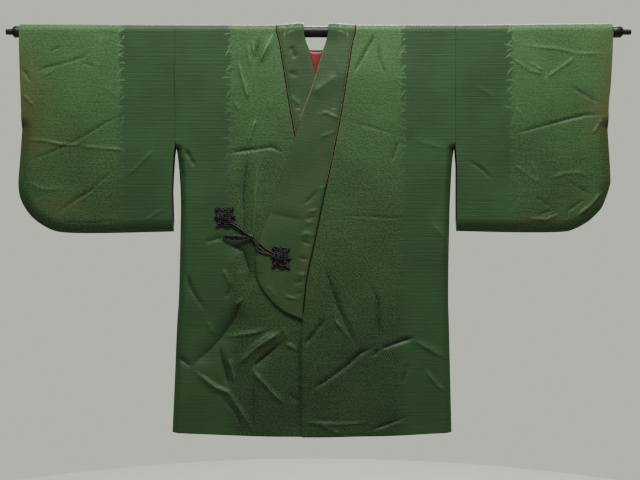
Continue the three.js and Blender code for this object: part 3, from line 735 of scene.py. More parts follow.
def joined(name, tubes, material):
    """One object from several tubes."""
    points, faces, flats, start = [], [], [], 0
    for tube_points, tube_faces, flat in tubes:
        faces += [[corner + start for corner in face] for face in tube_faces]
        start += len(tube_points)
        points.append(tube_points)
        flats.append(flat)
    return mesh_object(name, np.concatenate(points), faces, [material],
                       attributes={"flat": np.concatenate(flats)})


# ---------------------------------------------------------------- materials
def operation(kind, swapped=False):
    def apply(self, other=0.0):
        return self.graph.math(kind, *((other, self) if swapped else (self, other)))
    return apply


class Value:
    """A node's output that takes part in sums and products."""

    def __init__(self, graph, socket):
        self.graph = graph
        self.socket = socket

    __add__ = __radd__ = operation("ADD")
    __mul__ = __rmul__ = operation("MULTIPLY")
    __sub__, __rsub__ = operation("SUBTRACT"), operation("SUBTRACT", swapped=True)
    __truediv__, __rtruediv__ = operation("DIVIDE"), operation("DIVIDE", swapped=True)
    __abs__ = operation("ABSOLUTE")


class Graph:
    """A small helper that lays out the nodes of a material or a world."""

    def __init__(self, owner):
        owner.use_nodes = True
        self.owner = owner
        self.tree = owner.node_tree

    def put(self, socket, value):
        if isinstance(value, Value):
            self.tree.links.new(value.socket, socket)
        else:
            socket.default_value = value

    def node(self, kind, inputs=(), **settings):
        node = self.tree.nodes.new(kind)
        for key, value in settings.items():
            setattr(node, key, value)
        for key, value in dict(inputs).items():
            self.put(node.inputs[key], value)
        return node

    def out(self, output, kind, inputs=(), **settings):
        return Value(self, self.node(kind, inputs, **settings).outputs[output])

    def math(self, operation_name, first, second=0.0, clamp=False):
        return self.out(0, "ShaderNodeMath", {0: first, 1: second},
                        operation=operation_name, use_clamp=clamp)

    def sin(self, value):
        return self.math("SINE", value)

    def cos(self, value):
        return self.math("COSINE", value)

    def larger(self, first, second):
        return self.math("MAXIMUM", first, second)

    def separate(self, vector):
        parts = self.node("ShaderNodeSeparateXYZ", {0: vector}).outputs
        return [Value(self, socket) for socket in parts]

    def attribute(self, name, output="Vector"):
        return self.out(output, "ShaderNodeAttribute", attribute_name=name)

    def noise(self, vector, scale, detail=2.0, roughness=0.5, distortion=0.0):
        return self.out("Fac", "ShaderNodeTexNoise", {
            "Vector": vector, "Scale": scale, "Detail": detail, "Roughness": roughness,
            "Distortion": distortion})

    def streaks(self, x, y, across, down, detail=2.0, roughness=0.5, distortion=0.0):
        """Noise with its own scale each way."""
        where = self.out(0, "ShaderNodeCombineXYZ", {0: x * across, 1: y * down})
        return self.noise(where, 1.0, detail, roughness, distortion)

    def ramp(self, value, low, high, to_low=0.0, to_high=1.0, kind="SMOOTHSTEP"):
        return self.out("Result", "ShaderNodeMapRange", {
            "Value": value, "From Min": low, "From Max": high, "To Min": to_low,
            "To Max": to_high}, interpolation_type=kind)

    def line(self, value, low, high, to_low, to_high):
        return self.ramp(value, low, high, to_low, to_high, "LINEAR")

    def mix(self, share, first, second, blend="MIX"):
        return self.out(2, "ShaderNodeMix", {0: share, 6: first, 7: second},
                        data_type="RGBA", blend_type=blend)

    def shaded(self, base, shade):
        """A colour times a number."""
        grey = self.out(0, "ShaderNodeCombineXYZ", {0: shade, 1: shade, 2: shade})
        return self.mix(1.0, base, grey, "MULTIPLY")

    def bump(self, height, strength, distance):
        return self.out("Normal", "ShaderNodeBump", {
            "Height": height, "Strength": strength, "Distance": distance})

    def finish(self, **sockets):
        surface = self.tree.nodes["Principled BSDF"]
        for key, value in sockets.items():
            self.put(surface.inputs[key.replace("_", " ")], value)
        return self.owner


def material_graph(name):
    return Graph(bpy.data.materials.new(name))


def colour(red, green, blue):
    """A colour given in the 0 to 255 display scale, as the shader's linear values."""
    def linear(value):
        value /= 255
        return value / 12.92 if value <= 0.04045 else ((value + 0.055) / 1.055) ** 2.4
    return (linear(red), linear(green), linear(blue), 1.0)


# The figured silk, in metres. Its ground is ribbed between these distances from the
# coat's middle, and light inside and outside them.
RIBBED_FROM, RIBBED_TO = 0.188, 0.432
RIB_PITCH, FINE_RIB_PITCH = 0.0088, 0.0059
LEAF_PITCH = 0.019
DOT_ACROSS, DOT_DOWN = 0.0058, 0.0094
SILK_LIGHT = colour(47, 75, 42)
SILK_RIBBED = colour(30, 53, 29)
SILK_PALE = colour(84, 116, 84)
SILK_BROWN = colour(60, 50, 24)
SILK_AGED = colour(51, 60, 40)


def leaf_row(g, aside, drop, seed, reach, pitch, thick):
    """A row of slanting leaves, one to a pitch. aside is the distance from their row."""
    cell = drop / pitch + seed
    local = (g.math("FRACT", cell) - 0.5) * -pitch
    chance = g.out("Color", "ShaderNodeTexWhiteNoise",
                   {"W": g.math("FLOOR", cell) + seed * 7.3}, noise_dimensions="1D")
    first, second, third = g.separate(chance)
    a = aside + (first - 0.5) * 0.010
    b = local + (second - 0.5) * 0.006
    angle = third * 1.5 - 0.35
    cos, sin = g.cos(angle), g.sin(angle)
    u = (a * cos + b * sin) / ((first + 0.55) * reach)
    v = (b * cos - a * sin) / thick + u * u * 0.9
    away = g.math("SQRT", u * u + v * v)
    shown = g.math("GREATER_THAN", g.math("FRACT", first * 7.0), 0.25)
    return g.ramp(away, 0.55, 1.2, 1.0, 0.0) * shown


def band_sprigs(g, fx, drop):
    """Small leaves on the band, and where they show: at the shoulder and once below."""
    leaves = g.larger(leaf_row(g, fx - 0.017, drop, 0.3, 0.0066, 0.013, 0.0017),
                      leaf_row(g, fx - 0.033, drop, 0.8, 0.0070, 0.015, 0.0018))
    below = g.ramp(abs(drop - 0.203), 0.006, 0.014, 0.5, 0.0)
    return leaves, g.ramp(drop, 0.034, 0.058, 0.5, 0.0) + below


def edge_wisps(g, fx, drop):
    """Leaves where the two grounds meet, and how they fade below the shoulder."""
    leaves = 0.0
    for middle, seed in ((RIBBED_FROM + 0.004, 0.0), (RIBBED_TO - 0.003, 0.6)):
        aside = (abs(fx) - middle) * g.math("SIGN", fx)
        for shift, reach, pitch, thick in ((0.0, 0.0088, LEAF_PITCH, 0.0019),
                                           (0.47, 0.0062, LEAF_PITCH * 0.73, 0.0014)):
            leaves = g.larger(
                leaf_row(g, aside, drop, seed + shift, reach, pitch, thick), leaves)
    return leaves, g.ramp(drop, 0.05, 0.22, 0.20, 0.0) + g.ramp(drop, 0.15, 0.55, 0.12, 0.0)


def ribbed_share(g, fx, fy, drop, leaves):
    """1 on the ribbed stripe. Each ground reaches into the other at its broken edges."""
    ragged = g.streaks(fx, fy, 90.0, 150.0, 3.0, 0.6, 0.8)
    place = abs(fx) + (ragged - 0.5) * g.line(drop, 0.0, 0.7, 0.022, 0.060)
    blend = g.line(drop, 0.1, 0.85, 0.002, 0.018)
    inside, outside = [g.ramp(place, edge - blend, edge + blend)
                       for edge in (RIBBED_FROM, RIBBED_TO)]
    ribbed = g.math("SUBTRACT", inside, outside, clamp=True)
    leafy = leaves * g.ramp(drop, 0.05, 0.5, 0.75, 0.25)
    return ribbed + leafy * (1.0 - ribbed * 2.0)


def rib_lines(g, fx, fy, streaks):
    """Crosswise lines of uneven pitch and strength."""
    sway = g.streaks(fx, fy, 1.5, 42.0)
    ribs = 0.0
    for pitch, weight, turn in ((RIB_PITCH, 0.6, 9.0), (FINE_RIB_PITCH, 0.4, 13.0)):
        ribs = g.sin(fy * (2 * math.pi / pitch) + sway * turn) * weight + ribs
    strength = g.ramp(g.streaks(fx, fy, 12.0, 170.0, 2.0, 0.6), 0.3, 0.7, 0.25, 1.0)
    return ribs * strength + g.line(streaks, 0.3, 0.7, -0.7, 0.7)


def dotted_ground(g, fx, fy, drop, streaks):
    """Staggered upright dots on the body, mostly fine crosswise lines elsewhere."""
    on_body = g.line(abs(fx), RIBBED_FROM, RIBBED_TO, 1.0, 0.0)
    lower = g.line(drop, 0.1, 0.6, 0.45, 1.0)
    warp = g.streaks(fx, fy, 60.0, 45.0)
    dots = (g.cos(fx * (2 * math.pi / DOT_ACROSS) + warp * 10.0)
            * g.cos(fy * (2 * math.pi / DOT_DOWN) + warp * 8.0))
    mottle = g.ramp(g.streaks(fx, fy, 40.0, 40.0, 3.0), 0.36, 0.64, 0.15, 1.45)
    dots = dots * mottle * (lower * g.line(on_body, 0.0, 1.0, 0.35, 0.95))
    fine = g.line(g.streaks(fx, fy, 200.0, 290.0, 1.0), 0.35, 0.65, -0.6, 0.6)
    lines = g.line(streaks, 0.3, 0.7, -0.40, 0.40)
    return (dots + (fine + lines)) * g.line(drop, 0.15, 0.6, 1.0, 1.5)


def silk(name, banded=False):
    """Figured silk: light dotted ground, ribbed stripes, and leaf wisps where they meet.

    The band's silk is ribbed all over, with a few sprigs and brown age.
    """
    g = material_graph(name)
    flat = g.attribute("flat")
    fx, fy, _ = g.separate(flat)
    drop = abs(fy)
    streaks = g.streaks(fx, fy, 14.0, 300.0, 2.0, 0.6)
    tone = rib_lines(g, fx, fy, streaks)
    if banded:
        leaves, fading = band_sprigs(g, fx, drop)
        base, tone_share = SILK_RIBBED, 0.085
        line_shade, deepest, tone_relief = 0.5, 0.003, 0.30
    else:
        leaves, fading = edge_wisps(g, fx, drop)
        ribbed = ribbed_share(g, fx, fy, drop, leaves)
        tone = tone * ribbed + dotted_ground(g, fx, fy, drop, streaks) * (1.0 - ribbed)
        # the light ground is painted darker lower down: painted sheen, brightest near the
        # shoulders where light from above glances off its gloss
        light = g.shaded(SILK_LIGHT, 1.0 / (drop * 2.0 + 1.0))
        base, tone_share = g.mix(ribbed, light, SILK_RIBBED), g.ramp(ribbed, 0, 1, 0.36, 0.12)
        line_shade, deepest, tone_relief = 0.95, 0.010, 0.42

    patches = g.ramp(g.noise(flat, 9.0, 3.0, 0.55), 0.3, 0.7, -0.09, 0.09)
    # Painted crease shading: a thin line along each crease, painted lighter on a ridge and
    # darker in a trough, and broad painted shade from the folds' lift, darker in troughs and
    # lighter on ridges.
    away, depth, lift = g.separate(g.attribute("crease"))
    creased = g.ramp(abs(away), 0.0004, 0.0022, 1.0, 0.0) * depth * line_shade
    painted_fold_shade = g.line(lift, -deepest, deepest, -0.28, 0.28)
    shade = tone * tone_share + patches + creased + painted_fold_shade
    base = g.shaded(base, g.larger(shade + 1.0, 0.3))
    wisp = leaves * fading
    base = g.mix(wisp, base, SILK_PALE)
    if banded:
        aged = g.ramp(g.noise(flat, 10.0, 3.0, 0.6), 0.40, 0.62, 0.02, 0.28)
        base = g.mix(aged, base, SILK_AGED)
    mottled = g.ramp(g.noise(flat, 40.0, 4.0, 0.6), 0.3, 0.7, 0.6, 1.0)
    # Mixed towards brown where the coat is browned: stains on the sleeves and the body, and on
    # the band partly painted shade.
    base = g.mix(g.attribute("soil_and_shade", "Fac") * mottled, base, SILK_BROWN)

    weave = g.streaks(fx, fy, 1500.0, 1100.0, 1.0)
    relief = tone * tone_relief + weave * 0.35 + wisp * 1.6
    return g.finish(Base_Color=base, Roughness=g.line(tone, -1.0, 1.0, 0.62, 0.50),
                    Normal=g.bump(relief, 0.5, 0.0005), Specular_IOR_Level=0.17,
                    Sheen_Weight=0.04, Sheen_Roughness=0.45,
                    Sheen_Tint=(0.70, 0.90, 0.58, 1.0))


def plain_silk(name, dark, light, roughness, shine=0.3, sheen=0.05):
    g = material_graph(name)
    flat = g.attribute("flat")
    fx, fy, _ = g.separate(flat)
    weave = g.streaks(fx, fy, 900.0, 260.0)
    share = (weave + g.noise(flat, 30.0, 3.0)) * 0.5
    return g.finish(Base_Color=g.mix(g.ramp(share, 0.35, 0.65), dark, light),
                    Roughness=roughness, Normal=g.bump(weave, 0.3, 0.0003),
                    Specular_IOR_Level=shine, Sheen_Weight=sheen, Sheen_Roughness=0.4)


def braid_material():
    g = material_graph("braid_silk")
    fx, fy, _ = g.separate(g.attribute("flat"))
    around, along = fx * 2200.0, fy * 2400.0
    lit = g.ramp(g.sin(around + along) * g.sin(around - along), -1.0, 1.0)
    return g.finish(Base_Color=g.mix(lit, colour(3, 3, 2), colour(12, 9, 7)), Roughness=0.46,
                    Normal=g.bump(lit, 0.6, 0.0004), Specular_IOR_Level=0.22,
                    Sheen_Weight=0.02)


def paint_material():
    g = material_graph("black_paint_satin")
    where = g.out("Object", "ShaderNodeTexCoord")
    broad = g.noise(where, 18.0, 3.0)
    return g.finish(Base_Color=g.mix(broad, colour(9, 10, 9), colour(18, 18, 17)),
                    Roughness=g.ramp(broad, 0.3, 0.7, 0.38, 0.46),
                    Normal=g.bump(g.noise(where, 700.0, 2.0), 0.15, 0.0002),
                    Specular_IOR_Level=0.2)


def floor_material():
    g = material_graph("pale_floor")
    cloud = g.noise(g.out("Object", "ShaderNodeTexCoord"), 2.0, 3.0)
    return g.finish(Base_Color=g.mix(cloud, colour(150, 149, 141), colour(158, 157, 149)),
                    Roughness=0.7)


SILK = silk("figured_silk")
BAND_SILK = silk("ribbed_band_silk", banded=True)
LINING_SILK = plain_silk("red_lining", colour(74, 12, 16), colour(108, 32, 36), 0.42)
# Inside the sleeves, the body and the band: the lining's red painted near black, as painted
# shade for the dark inside the coat.
PAINTED_SHADE_INNER_SILK = plain_silk("inner_lining_painted_shade", colour(26, 10, 10), colour(38, 14, 14), 0.5)
# The piping: a dark red-brown cord, painted near black so that it also carries the shade of
# the seam's groove.
PIPING_SILK = plain_silk("piping", colour(8, 5, 3), colour(17, 9, 6), 0.6, 0.1, 0.0)
PIPING_LIGHT = plain_silk("piping_edge", colour(92, 80, 56), colour(122, 104, 76), 0.6, 0.15,
                          0.0)
BRAID = braid_material()
PAINT = paint_material()


# ---------------------------------------------------------------- soil, and painted shade on the band
# Browned places: x, z, how wide, how high and how strong.
SOIL_SLEEVES = [
    (-648, -90, 24, 70, 0.40), (-626, -160, 40, 80, 0.44), (-648, -240, 22, 60, 0.40),
    (-560, -384, 60, 22, 0.34), (-610, -250, 80, 34, 0.18),
    (650, -120, 20, 90, 0.50), (646, -200, 22, 60, 0.55), (650, -290, 12, 80, 0.40),
    (612, -165, 34, 22, 0.34), (620, -215, 22, 26, 0.30), (634, -30, 34, 60, 0.26),
    (508, -414, 60, 12, 0.30), (606, -372, 30, 24, 0.26),
]
# On the band the spots by the seam's puckers and beside the left knot are partly brown stains,
# partly painted shade.
BAND_STAINS_AND_SHADE = [
    (-4, -352, 12, 16, 0.17), (-9, -408, 18, 14, 0.22), (-22, -470, 16, 9, 0.22),
    (-28, -508, 14, 18, 0.22), (-40, -562, 14, 22, 0.18), (-48, -614, 26, 12, 0.18),
    (-114, -476, 14, 22, 0.24), (-66, -530, 26, 14, 0.11), (10, -270, 44, 60, 0.07),
]
SOIL_FRONT = [
    (-10, -560, 20, 60, 0.15), (6, -470, 16, 40, 0.11), (-250, -800, 50, 30, 0.07),
    (-120, -650, 50, 30, 0.06), (60, -800, 70, 50, 0.06),
]


def soil_at(marks, x, z):
    total = np.zeros(x.shape)
    for middle_x, middle_z, wide, high, depth in marks:
        total += depth * np.exp(-((x - middle_x) / wide) ** 2 - ((z - middle_z) / high) ** 2)
    return np.clip(total, 0, 0.7)


# ---------------------------------------------------------------- the coat
def station(row, face, hand):
    """A row of the collar on one side: seam x, seam run, free edge x, free edge run."""
    values = []
    for x, z in (row[:2], row[2:]):
        aside = UNDER_DRAW * float(smooth((-z - UNDER_DRAW_TOP) / UNDER_DRAW_EASE))
        values += [hand * x - (aside if hand == RIGHT else 0), float(run_at(z, face))]
    return values


def band_stations(hand):
    """The collar's rows on one side, from the front's foot over the rod to the back."""
    arc = [step / ARC_STEPS * QUARTER for step in range(-ARC_STEPS, ARC_STEPS + 1)]
    over = [[hand * BAND_TOP[0], run, hand * BAND_TOP[1], run] for run in arc]
    return ([station(row, FRONT, hand) for row in BAND_FRONT] + over
            + [station(row, BACK, hand) for row in BAND_BACK])


def soft_edge(grid, depth, reach):
    """What a turned seam takes off the wall's thickness near its long edges."""
    return -depth * (1 - smooth(edge_distance(grid) / reach))


def silk_piece(name, grid, part, marks):
    """A wall of the figured silk over a grid of places, with the lining inside painted dark
    for the shade inside the coat.
    """
    top = CLOTH + soft_edge(grid, EDGE_THINNING, EDGE_REACH)
    soil_and_shade = soil_at(marks, grid[..., 0], height_at(grid[..., 1]))
    return cloth(name, grid, [part] * len(grid), (top, np.zeros_like(top)),
                 [SILK, PAINTED_SHADE_INNER_SILK], extra={"soil_and_shade": soil_and_shade})


def body_half(hand):
    """Half the body in one width, from the front hem over the rod to the back hem."""
    stations = band_stations(hand)
    first_over = len(BAND_FRONT)
    first_back = first_over + 2 * ARC_STEPS + 1
    edge = hand * FRONT_EDGE_X - (UNDER_DRAW if hand == RIGHT else 0)
    controls = []

    def row(side_z, face, inner_x, inner_run):
        controls.append((float(side_x(side_z, hand)), float(run_at(side_z, face)),
                         inner_x, inner_run))

    for z in FRONT_EDGE_ROWS:
        row(max(z, HEM_SIDE_Z), FRONT, edge, float(run_at(z, FRONT)))
    for index, (seam_x, seam_run, _, _) in enumerate(stations):
        if index < first_over:
            row(BAND_FRONT[index][1], FRONT, seam_x, seam_run)
        elif index < first_back:
            controls.append((float(side_x(0, hand)), seam_run, seam_x, seam_run))
        else:
            row(BACK_SIDE_AT_BAND[index - first_back], BACK, seam_x, seam_run)
    row(BACK_SIDE_AT_CENTRE, BACK, 0.0, float(run_at(BAND_CENTRE[1], BACK)))
    for side_z, centre_z in BACK_ROWS:
        row(side_z, BACK, 0.0, float(run_at(centre_z, BACK)))
    rows = smooth_rows(controls, GRID, GRID_BEHIND)
    side, inner = rows[:, :2].copy(), rows[:, 2:].copy()
    towards = side - inner
    inner += towards / lengths(towards)[:, None] * GAP
    below_neck = inner[:, 1] > run_at(NECK_Z, BACK)
    least = np.where(below_neck, GAP / 2, -np.inf)
    inner[:, 0] = hand * np.maximum(hand * inner[:, 0], least)
    grid = columns_between(side, inner)
    share = np.linspace(0, 1, grid.shape[1])[None]
    bow = HEM_DROP * np.sin(math.pi * share)
    low = smooth((-height_at(grid[..., 1]) - HEM_DROP_FROM) / HEM_DROP_EASE)
    grid[..., 1] += np.sign(grid[..., 1]) * bow * low
    name = "coat_body_" + HAND_NAME[hand]
    return silk_piece(name, grid, BODY_FORM[hand], SOIL_FRONT), grid


# What a sleeve's rounded foot adds to its width when the columns are spaced, and how far
# from the foot its last rows lie.
SLEEVE_FLARE = 30.0
SLEEVE_FOOT_RIM = np.array([3.2, 1.3, 0.0])


def sleeve(name, shape, part):
    """A sleeve in one folded width, whose rows bend towards its rounded foot."""
    innerfoot, outerfoot = shape["inner"][-1], shape["outer"][-1]
    depth = -innerfoot[1]
    rim = depth - SLEEVE_FOOT_RIM
    foot = np.array(shape["foot"])
    along = distances(foot)
    width = abs(outerfoot[0] - innerfoot[0]) + SLEEVE_FLARE
    shares = across_steps(width, step_count(width, GRID_SLEEVE)) / width
    bent = np.stack([np.interp(shares * along[-1], along, foot[:, k]) for k in (0, 1)],
                    axis=-1)
    straight = np.stack([innerfoot[k] + (outerfoot[k] - innerfoot[k]) * shares
                         for k in (0, 1)], axis=-1)
    bend = bent - straight

    def rows(face):
        grid = []
        spacing = GRID_SLEEVE if face == FRONT else GRID_BEHIND
        downs = np.append(np.arange(spacing, rim[0] - spacing / 2, spacing), rim) / depth
        for down in downs:
            inner_z, outer_z = innerfoot[1] * down, outerfoot[1] * down
            inner_x = float(edge_x(shape["inner"], inner_z))
            outer_x = float(edge_x(shape["outer"], outer_z))
            x = inner_x + (outer_x - inner_x) * shares + bend[:, 0] * down ** 2
            z = inner_z + (outer_z - inner_z) * shares + bend[:, 1] * down ** 2
            grid.append(np.stack([x, run_at(z, face)], axis=-1))
        return np.array(grid)

    top_x = shape["inner"][0][0] + (shape["outer"][0][0] - shape["inner"][0][0]) * shares
    over = np.array([np.stack([top_x, np.full_like(top_x, step * QUARTER)], axis=-1)
                     for step in np.linspace(-1, 1, SLEEVE_ARC_PLACES)])
    grid = np.concatenate([rows(FRONT)[::-1], over, rows(BACK)])
    return silk_piece(name, grid, part, SOIL_SLEEVES), grid


# The band is fuller in its middle and thin at its edges, and its free edge stands off at
# the neck. It changes sides where its rows reach the coat's centre, behind.
BAND_CROWN, NECK_STAND = 0.5, 3.4
BAND_THINNING, BAND_EDGE_REACH = 1.3, 5.0
CENTRE_Z, AT_CENTRE = -30, 1e-6


def collar():
    """The band from the left front's foot round the neck to the right front's."""
    centre = station(BAND_CENTRE, BACK, LEFT)
    rows = smooth_rows(band_stations(LEFT) + [centre] + band_stations(RIGHT)[::-1],
                       GRID_BAND, GRID_BAND_BEHIND)
    crossing = next(i for i, row in enumerate(rows)
                    if row[1] > run_at(CENTRE_Z, BACK) and row[0] < AT_CENTRE)
    grid = columns_between(rows[:, :2], rows[:, 2:], GRID_BAND)
    along = distances(rows[:, :2])
    across = lengths(grid - grid[:, :1])
    share = across / across[:, -1:]
    crown = BAND_CROWN * np.sin(math.pi * share) ** 0.6
    x, z = grid[..., 0], height_at(grid[..., 1])
    fall = np.abs(grid[..., 1])
    stand = NECK_STAND * (1 - smooth((fall - 8) / 42)) * smooth((share - 0.15) / 0.7)
    is_over = np.arange(len(rows))[:, None] < crossing
    in_front = grid[..., 1] < -QUARTER
    marks = np.where(is_over[..., None], crease_marks(CREASES_BAND, x, z),
                     crease_marks(CREASES_BAND_UNDER, x, z)) * in_front[..., None]
    puckers = np.where(is_over, crease_lift(CREASES_BAND, x, z),
                       crease_lift(CREASES_BAND_UNDER, x, z))
    puckers = np.where(in_front, puckers, 0) * smooth(across / 4)
    thinned = soft_edge(grid, BAND_THINNING, BAND_EDGE_REACH)
    top = BAND + crown + thinned + stand + puckers
    under = stand * 0.9 + 0.8 * puckers

    # its flat length is measured from the nearer shoulder, so the two sides match
    half = len(rows) // 2
    left_top = along[np.argmin(np.abs(rows[:half, 1]))]
    right_top = along[half + np.argmin(np.abs(rows[half:, 1]))]
    from_top = np.minimum(along - left_top, right_top - along)[:, None]
    flat = np.stack(np.broadcast_arrays(across, from_top, 0.0), axis=-1)
    extra = {"soil_and_shade": soil_at(BAND_STAINS_AND_SHADE, x, z) * in_front, "crease": marks}
    forms = [OVER if i < crossing else UNDER for i in range(len(rows))]
    piece = cloth("coat_collar", grid, forms, (top, under), [BAND_SILK, PAINTED_SHADE_INNER_SILK],
                  flat=flat, extra=extra)
    return piece, grid, float(along[-1])


def band_edges(hand, first_row):
    """The band's seam and free edge from a row on, and the way from the free edge."""
    rows = smooth_rows(band_stations(hand)[first_row:], GRID_LINE)
    seam, free = rows[:, :2], rows[:, 2:]
    return seam, free, (seam - free) / lengths(seam - free)[:, None]


def line_on_cloth(part, places, out, radius, sides):
    """A thin tube along places in the flat cloth."""
    path = hang(part, places[:, 0], places[:, 1], np.full(len(places), out)) / MM
    return tube(path, radius, sides)


def piping(hand, first_row):
    """The dark cord in the collar's seam, painted near black for the seam groove's shade as
    well.
    """
    seam, _, outward = band_edges(hand, first_row)
    cord = line_on_cloth(BODY_FORM[hand], seam + outward * 0.9, CLOTH + 0.45, 1.25, 8)
    return joined("piping_cord_" + HAND_NAME[hand], [cord], PIPING_SILK)


def seam_edging(hand, first_row):
    """The thin tan edges of the cloth on both sides of the piping."""
    seam, _, outward = band_edges(hand, first_row)
    edges = [line_on_cloth(BODY_FORM[hand], seam + outward * away, out, 0.30, 6)
             for away, out in ((-0.8, BAND - 0.35), (2.7, CLOTH + 0.05))]
    return joined("seam_edging_" + HAND_NAME[hand], edges, PIPING_LIGHT)


def free_edge_piping():
    """The tan line on the over band's free edge below the neck."""
    _, free, outward = band_edges(LEFT, 0)
    top_z, foot_z = -26, -205
    keep = (free[:, 1] < run_at(top_z, FRONT)) & (free[:, 1] > run_at(foot_z, FRONT))
    places = free[keep] - outward[keep] * 0.2
    edge = line_on_cloth(OVER, places, BAND * 0.62, 0.6, 8)
    return joined("collar_edge_piping", [edge], PIPING_LIGHT)


def lining_behind_neck():
    """The red lining inside the back, as far as it shows in the neck."""
    half, dip, top_z, foot_z = 48.0, 20.0, -22.0, -150.0
    x = np.linspace(-half, half, 41)
    dipped = np.clip(1 - (x / dip) ** 6, 0, None) * dip
    tops = run_at(top_z - dipped, BACK)
    foot = float(run_at(foot_z, BACK))
    grid = np.stack([np.stack([x, tops + (foot - tops) * share], axis=-1)
                     for share in np.linspace(0, 1, 45)])
    z = height_at(grid[..., 1])
    ripple = (0.5 * np.sin(grid[..., 0] / 5.5 + 0.8 * np.sin(z / 17))
              + 0.4 * np.sin(z / 7 + grid[..., 0] / 31)) * smooth((-z - 46) / 20)
    top = -GAP - 0.5 + 0.5 * ripple
    under = top - LINING
    return cloth("lining_neck", grid, [FLAT_FORM] * len(grid), (top, under),
                 [LINING_SILK, LINING_SILK]), grid


# ---------------------------------------------------------------- the fastener
CORD = 1.45
BRAID_RELIEF = 0.08


def flower_knot(name, x, z, stand, reach, stretch, turn, petals=4):
    """An interlaced flower of doubled cord round a small button of the same cord."""
    base = -(REST + stand + CORD + 0.5)
    angle = np.linspace(0, 2 * math.pi, 360, endpoint=False)
    parts = []
    # each ring's size, depth of loops, lift and turn as a share of a petal
    rings = ((1.0, 0.50, 0.0, 0.0), (0.95, 0.17, -0.2, 0.0), (0.84, 0.56, 0.6, 0.0),
             (0.80, 0.44, 0.4, 0.5), (0.76, 0.19, 0.1, 0.0), (0.64, 0.55, 1.1, 0.5),
             (0.56, 0.22, 0.3, 0.0), (0.50, 0.66, 1.9, 0.18), (0.36, 0.30, 0.8, 0.5))
    for scale, depth_of_loop, lift, shift in rings:
        size = reach * scale / (1 + depth_of_loop)
        uneven = (1 + 0.06 * np.sin(angle * 2 + 5 * scale + turn)
                  + 0.045 * np.sin(angle * 9 + 3 * scale))
        loop_x = size * uneven * (np.cos(angle) + depth_of_loop * np.cos((petals - 1) * angle))
        loop_z = size * uneven * (np.sin(angle) - depth_of_loop * np.sin((petals - 1) * angle))
        depth = base - lift - 0.9 * (1 + np.sin(petals * angle * 2 + 0.8))
        spin = turn + shift * 2 * math.pi / petals
        cos, sin = math.cos(spin), math.sin(spin)
        px = (loop_x * cos - loop_z * sin) * stretch[0]
        pz = (loop_x * sin + loop_z * cos) * stretch[1]
        path = np.stack([x + px, depth, z + pz], axis=-1)
        thick = CORD * (1.0 if scale == 1.0 else 0.86)
        parts.append(tube(path, thick, 8, closed=True, braid=BRAID_RELIEF))
    turns = np.linspace(0, 2 * math.pi, 220, endpoint=False)
    ring = 4.6 + 2.3 * np.cos(2.5 * 2 * turns)
    crown = np.stack([x + ring * np.cos(2 * turns), base - 3.8 - 1.2 * np.sin(2.5 * 2 * turns),
                      z + ring * np.sin(2 * turns)], axis=-1)
    parts.append(tube(crown, CORD * 0.95, 8, closed=True, braid=BRAID_RELIEF))
    return joined(name, parts, BRAID)


def cord_path(places, count=70):
    points = np.array(places, float)
    rows = smooth_rows(np.column_stack([points, np.zeros(len(points))]),
                       max(0.8, np.linalg.norm(np.diff(points, axis=0), axis=1).sum() / count))
    return np.stack([rows[:, 0], -(REST + rows[:, 2]), rows[:, 1]], axis=-1)


# Each strand's path: x, z, and how far it stands out from the cloth's inner face.
CORDS = {
    "cord_right_upper": [(-180, -421, 3.7), (-173.5, -427, 3.9), (-162, -436, 4.2),
                         (-151, -445, 4.8), (-143.5, -451, 5.6), (-138, -455.5, 6.8)],
    "cord_right_lower": [(-184, -426, 3.7), (-178, -432, 3.9), (-166, -441, 3.9),
                         (-155, -449, 4.3), (-146.5, -455, 5.4), (-139, -459, 6.6)],
    "cord_left_upper": [(-140, -453, 8.0), (-132.5, -459, 8.8), (-124, -468, 9.7),
                        (-112, -479, 9.3), (-102.5, -485, 9.1), (-90, -492, 9.2)],
    "cord_left_lower": [(-143, -457, 7.6), (-136, -463, 8.6), (-128.5, -474, 9.8),
                        (-117, -484, 9.4), (-104, -491, 9.2), (-92, -497, 9.2)],
    "cord_tail": [(-141, -456, 6.4), (-150, -459.5, 5.2), (-162, -462, 4.2), (-180, -463, 3.9),
                  (-197, -460, 3.9), (-203, -455.5, 3.9), (-198, -451, 3.9),
                  (-184, -451.5, 3.9), (-170, -452, 4.2), (-156, -454, 4.8),
                  (-144, -455.5, 5.8)],
}
SECOND_STRANDS = {
    "cord_right_upper": [(-188, -424, 6.2), (-176, -430.5, 6.3), (-163, -439.5, 6.6),
                         (-152, -448, 7.2), (-141, -454, 8.2)],
    "cord_left_lower": [(-139, -461, 5.6), (-134, -472, 6.6), (-128, -484, 9.3),
                        (-114, -490, 9.2), (-98, -494, 9.2)],
}


def fastener_cord(name):
    paths = [table[name] for table in (CORDS, SECOND_STRANDS) if name in table]
    parts = [tube(cord_path(path), CORD, 9, braid=BRAID_RELIEF) for path in paths]
    return joined(name + "_braid", parts, BRAID)


def button(x, z, out, radius):
    """A ball knot: cord wound over and under round a small ball."""
    turns = np.linspace(0, 2 * math.pi, 260, endpoint=False)
    polar = 0.95 * np.sin(5 * turns)
    around = 4 * turns
    swell = radius - 1.0 + 0.5 * np.sin(9 * turns)
    path = np.stack([x + swell * np.cos(polar) * np.cos(around),
                     -(REST + out) + swell * np.cos(polar) * np.sin(around),
                     z + swell * np.sin(polar)], axis=-1)
    wound = tube(path, 1.15, 8, closed=True, braid=BRAID_RELIEF)
    return joined("button_knot", [wound], BRAID)


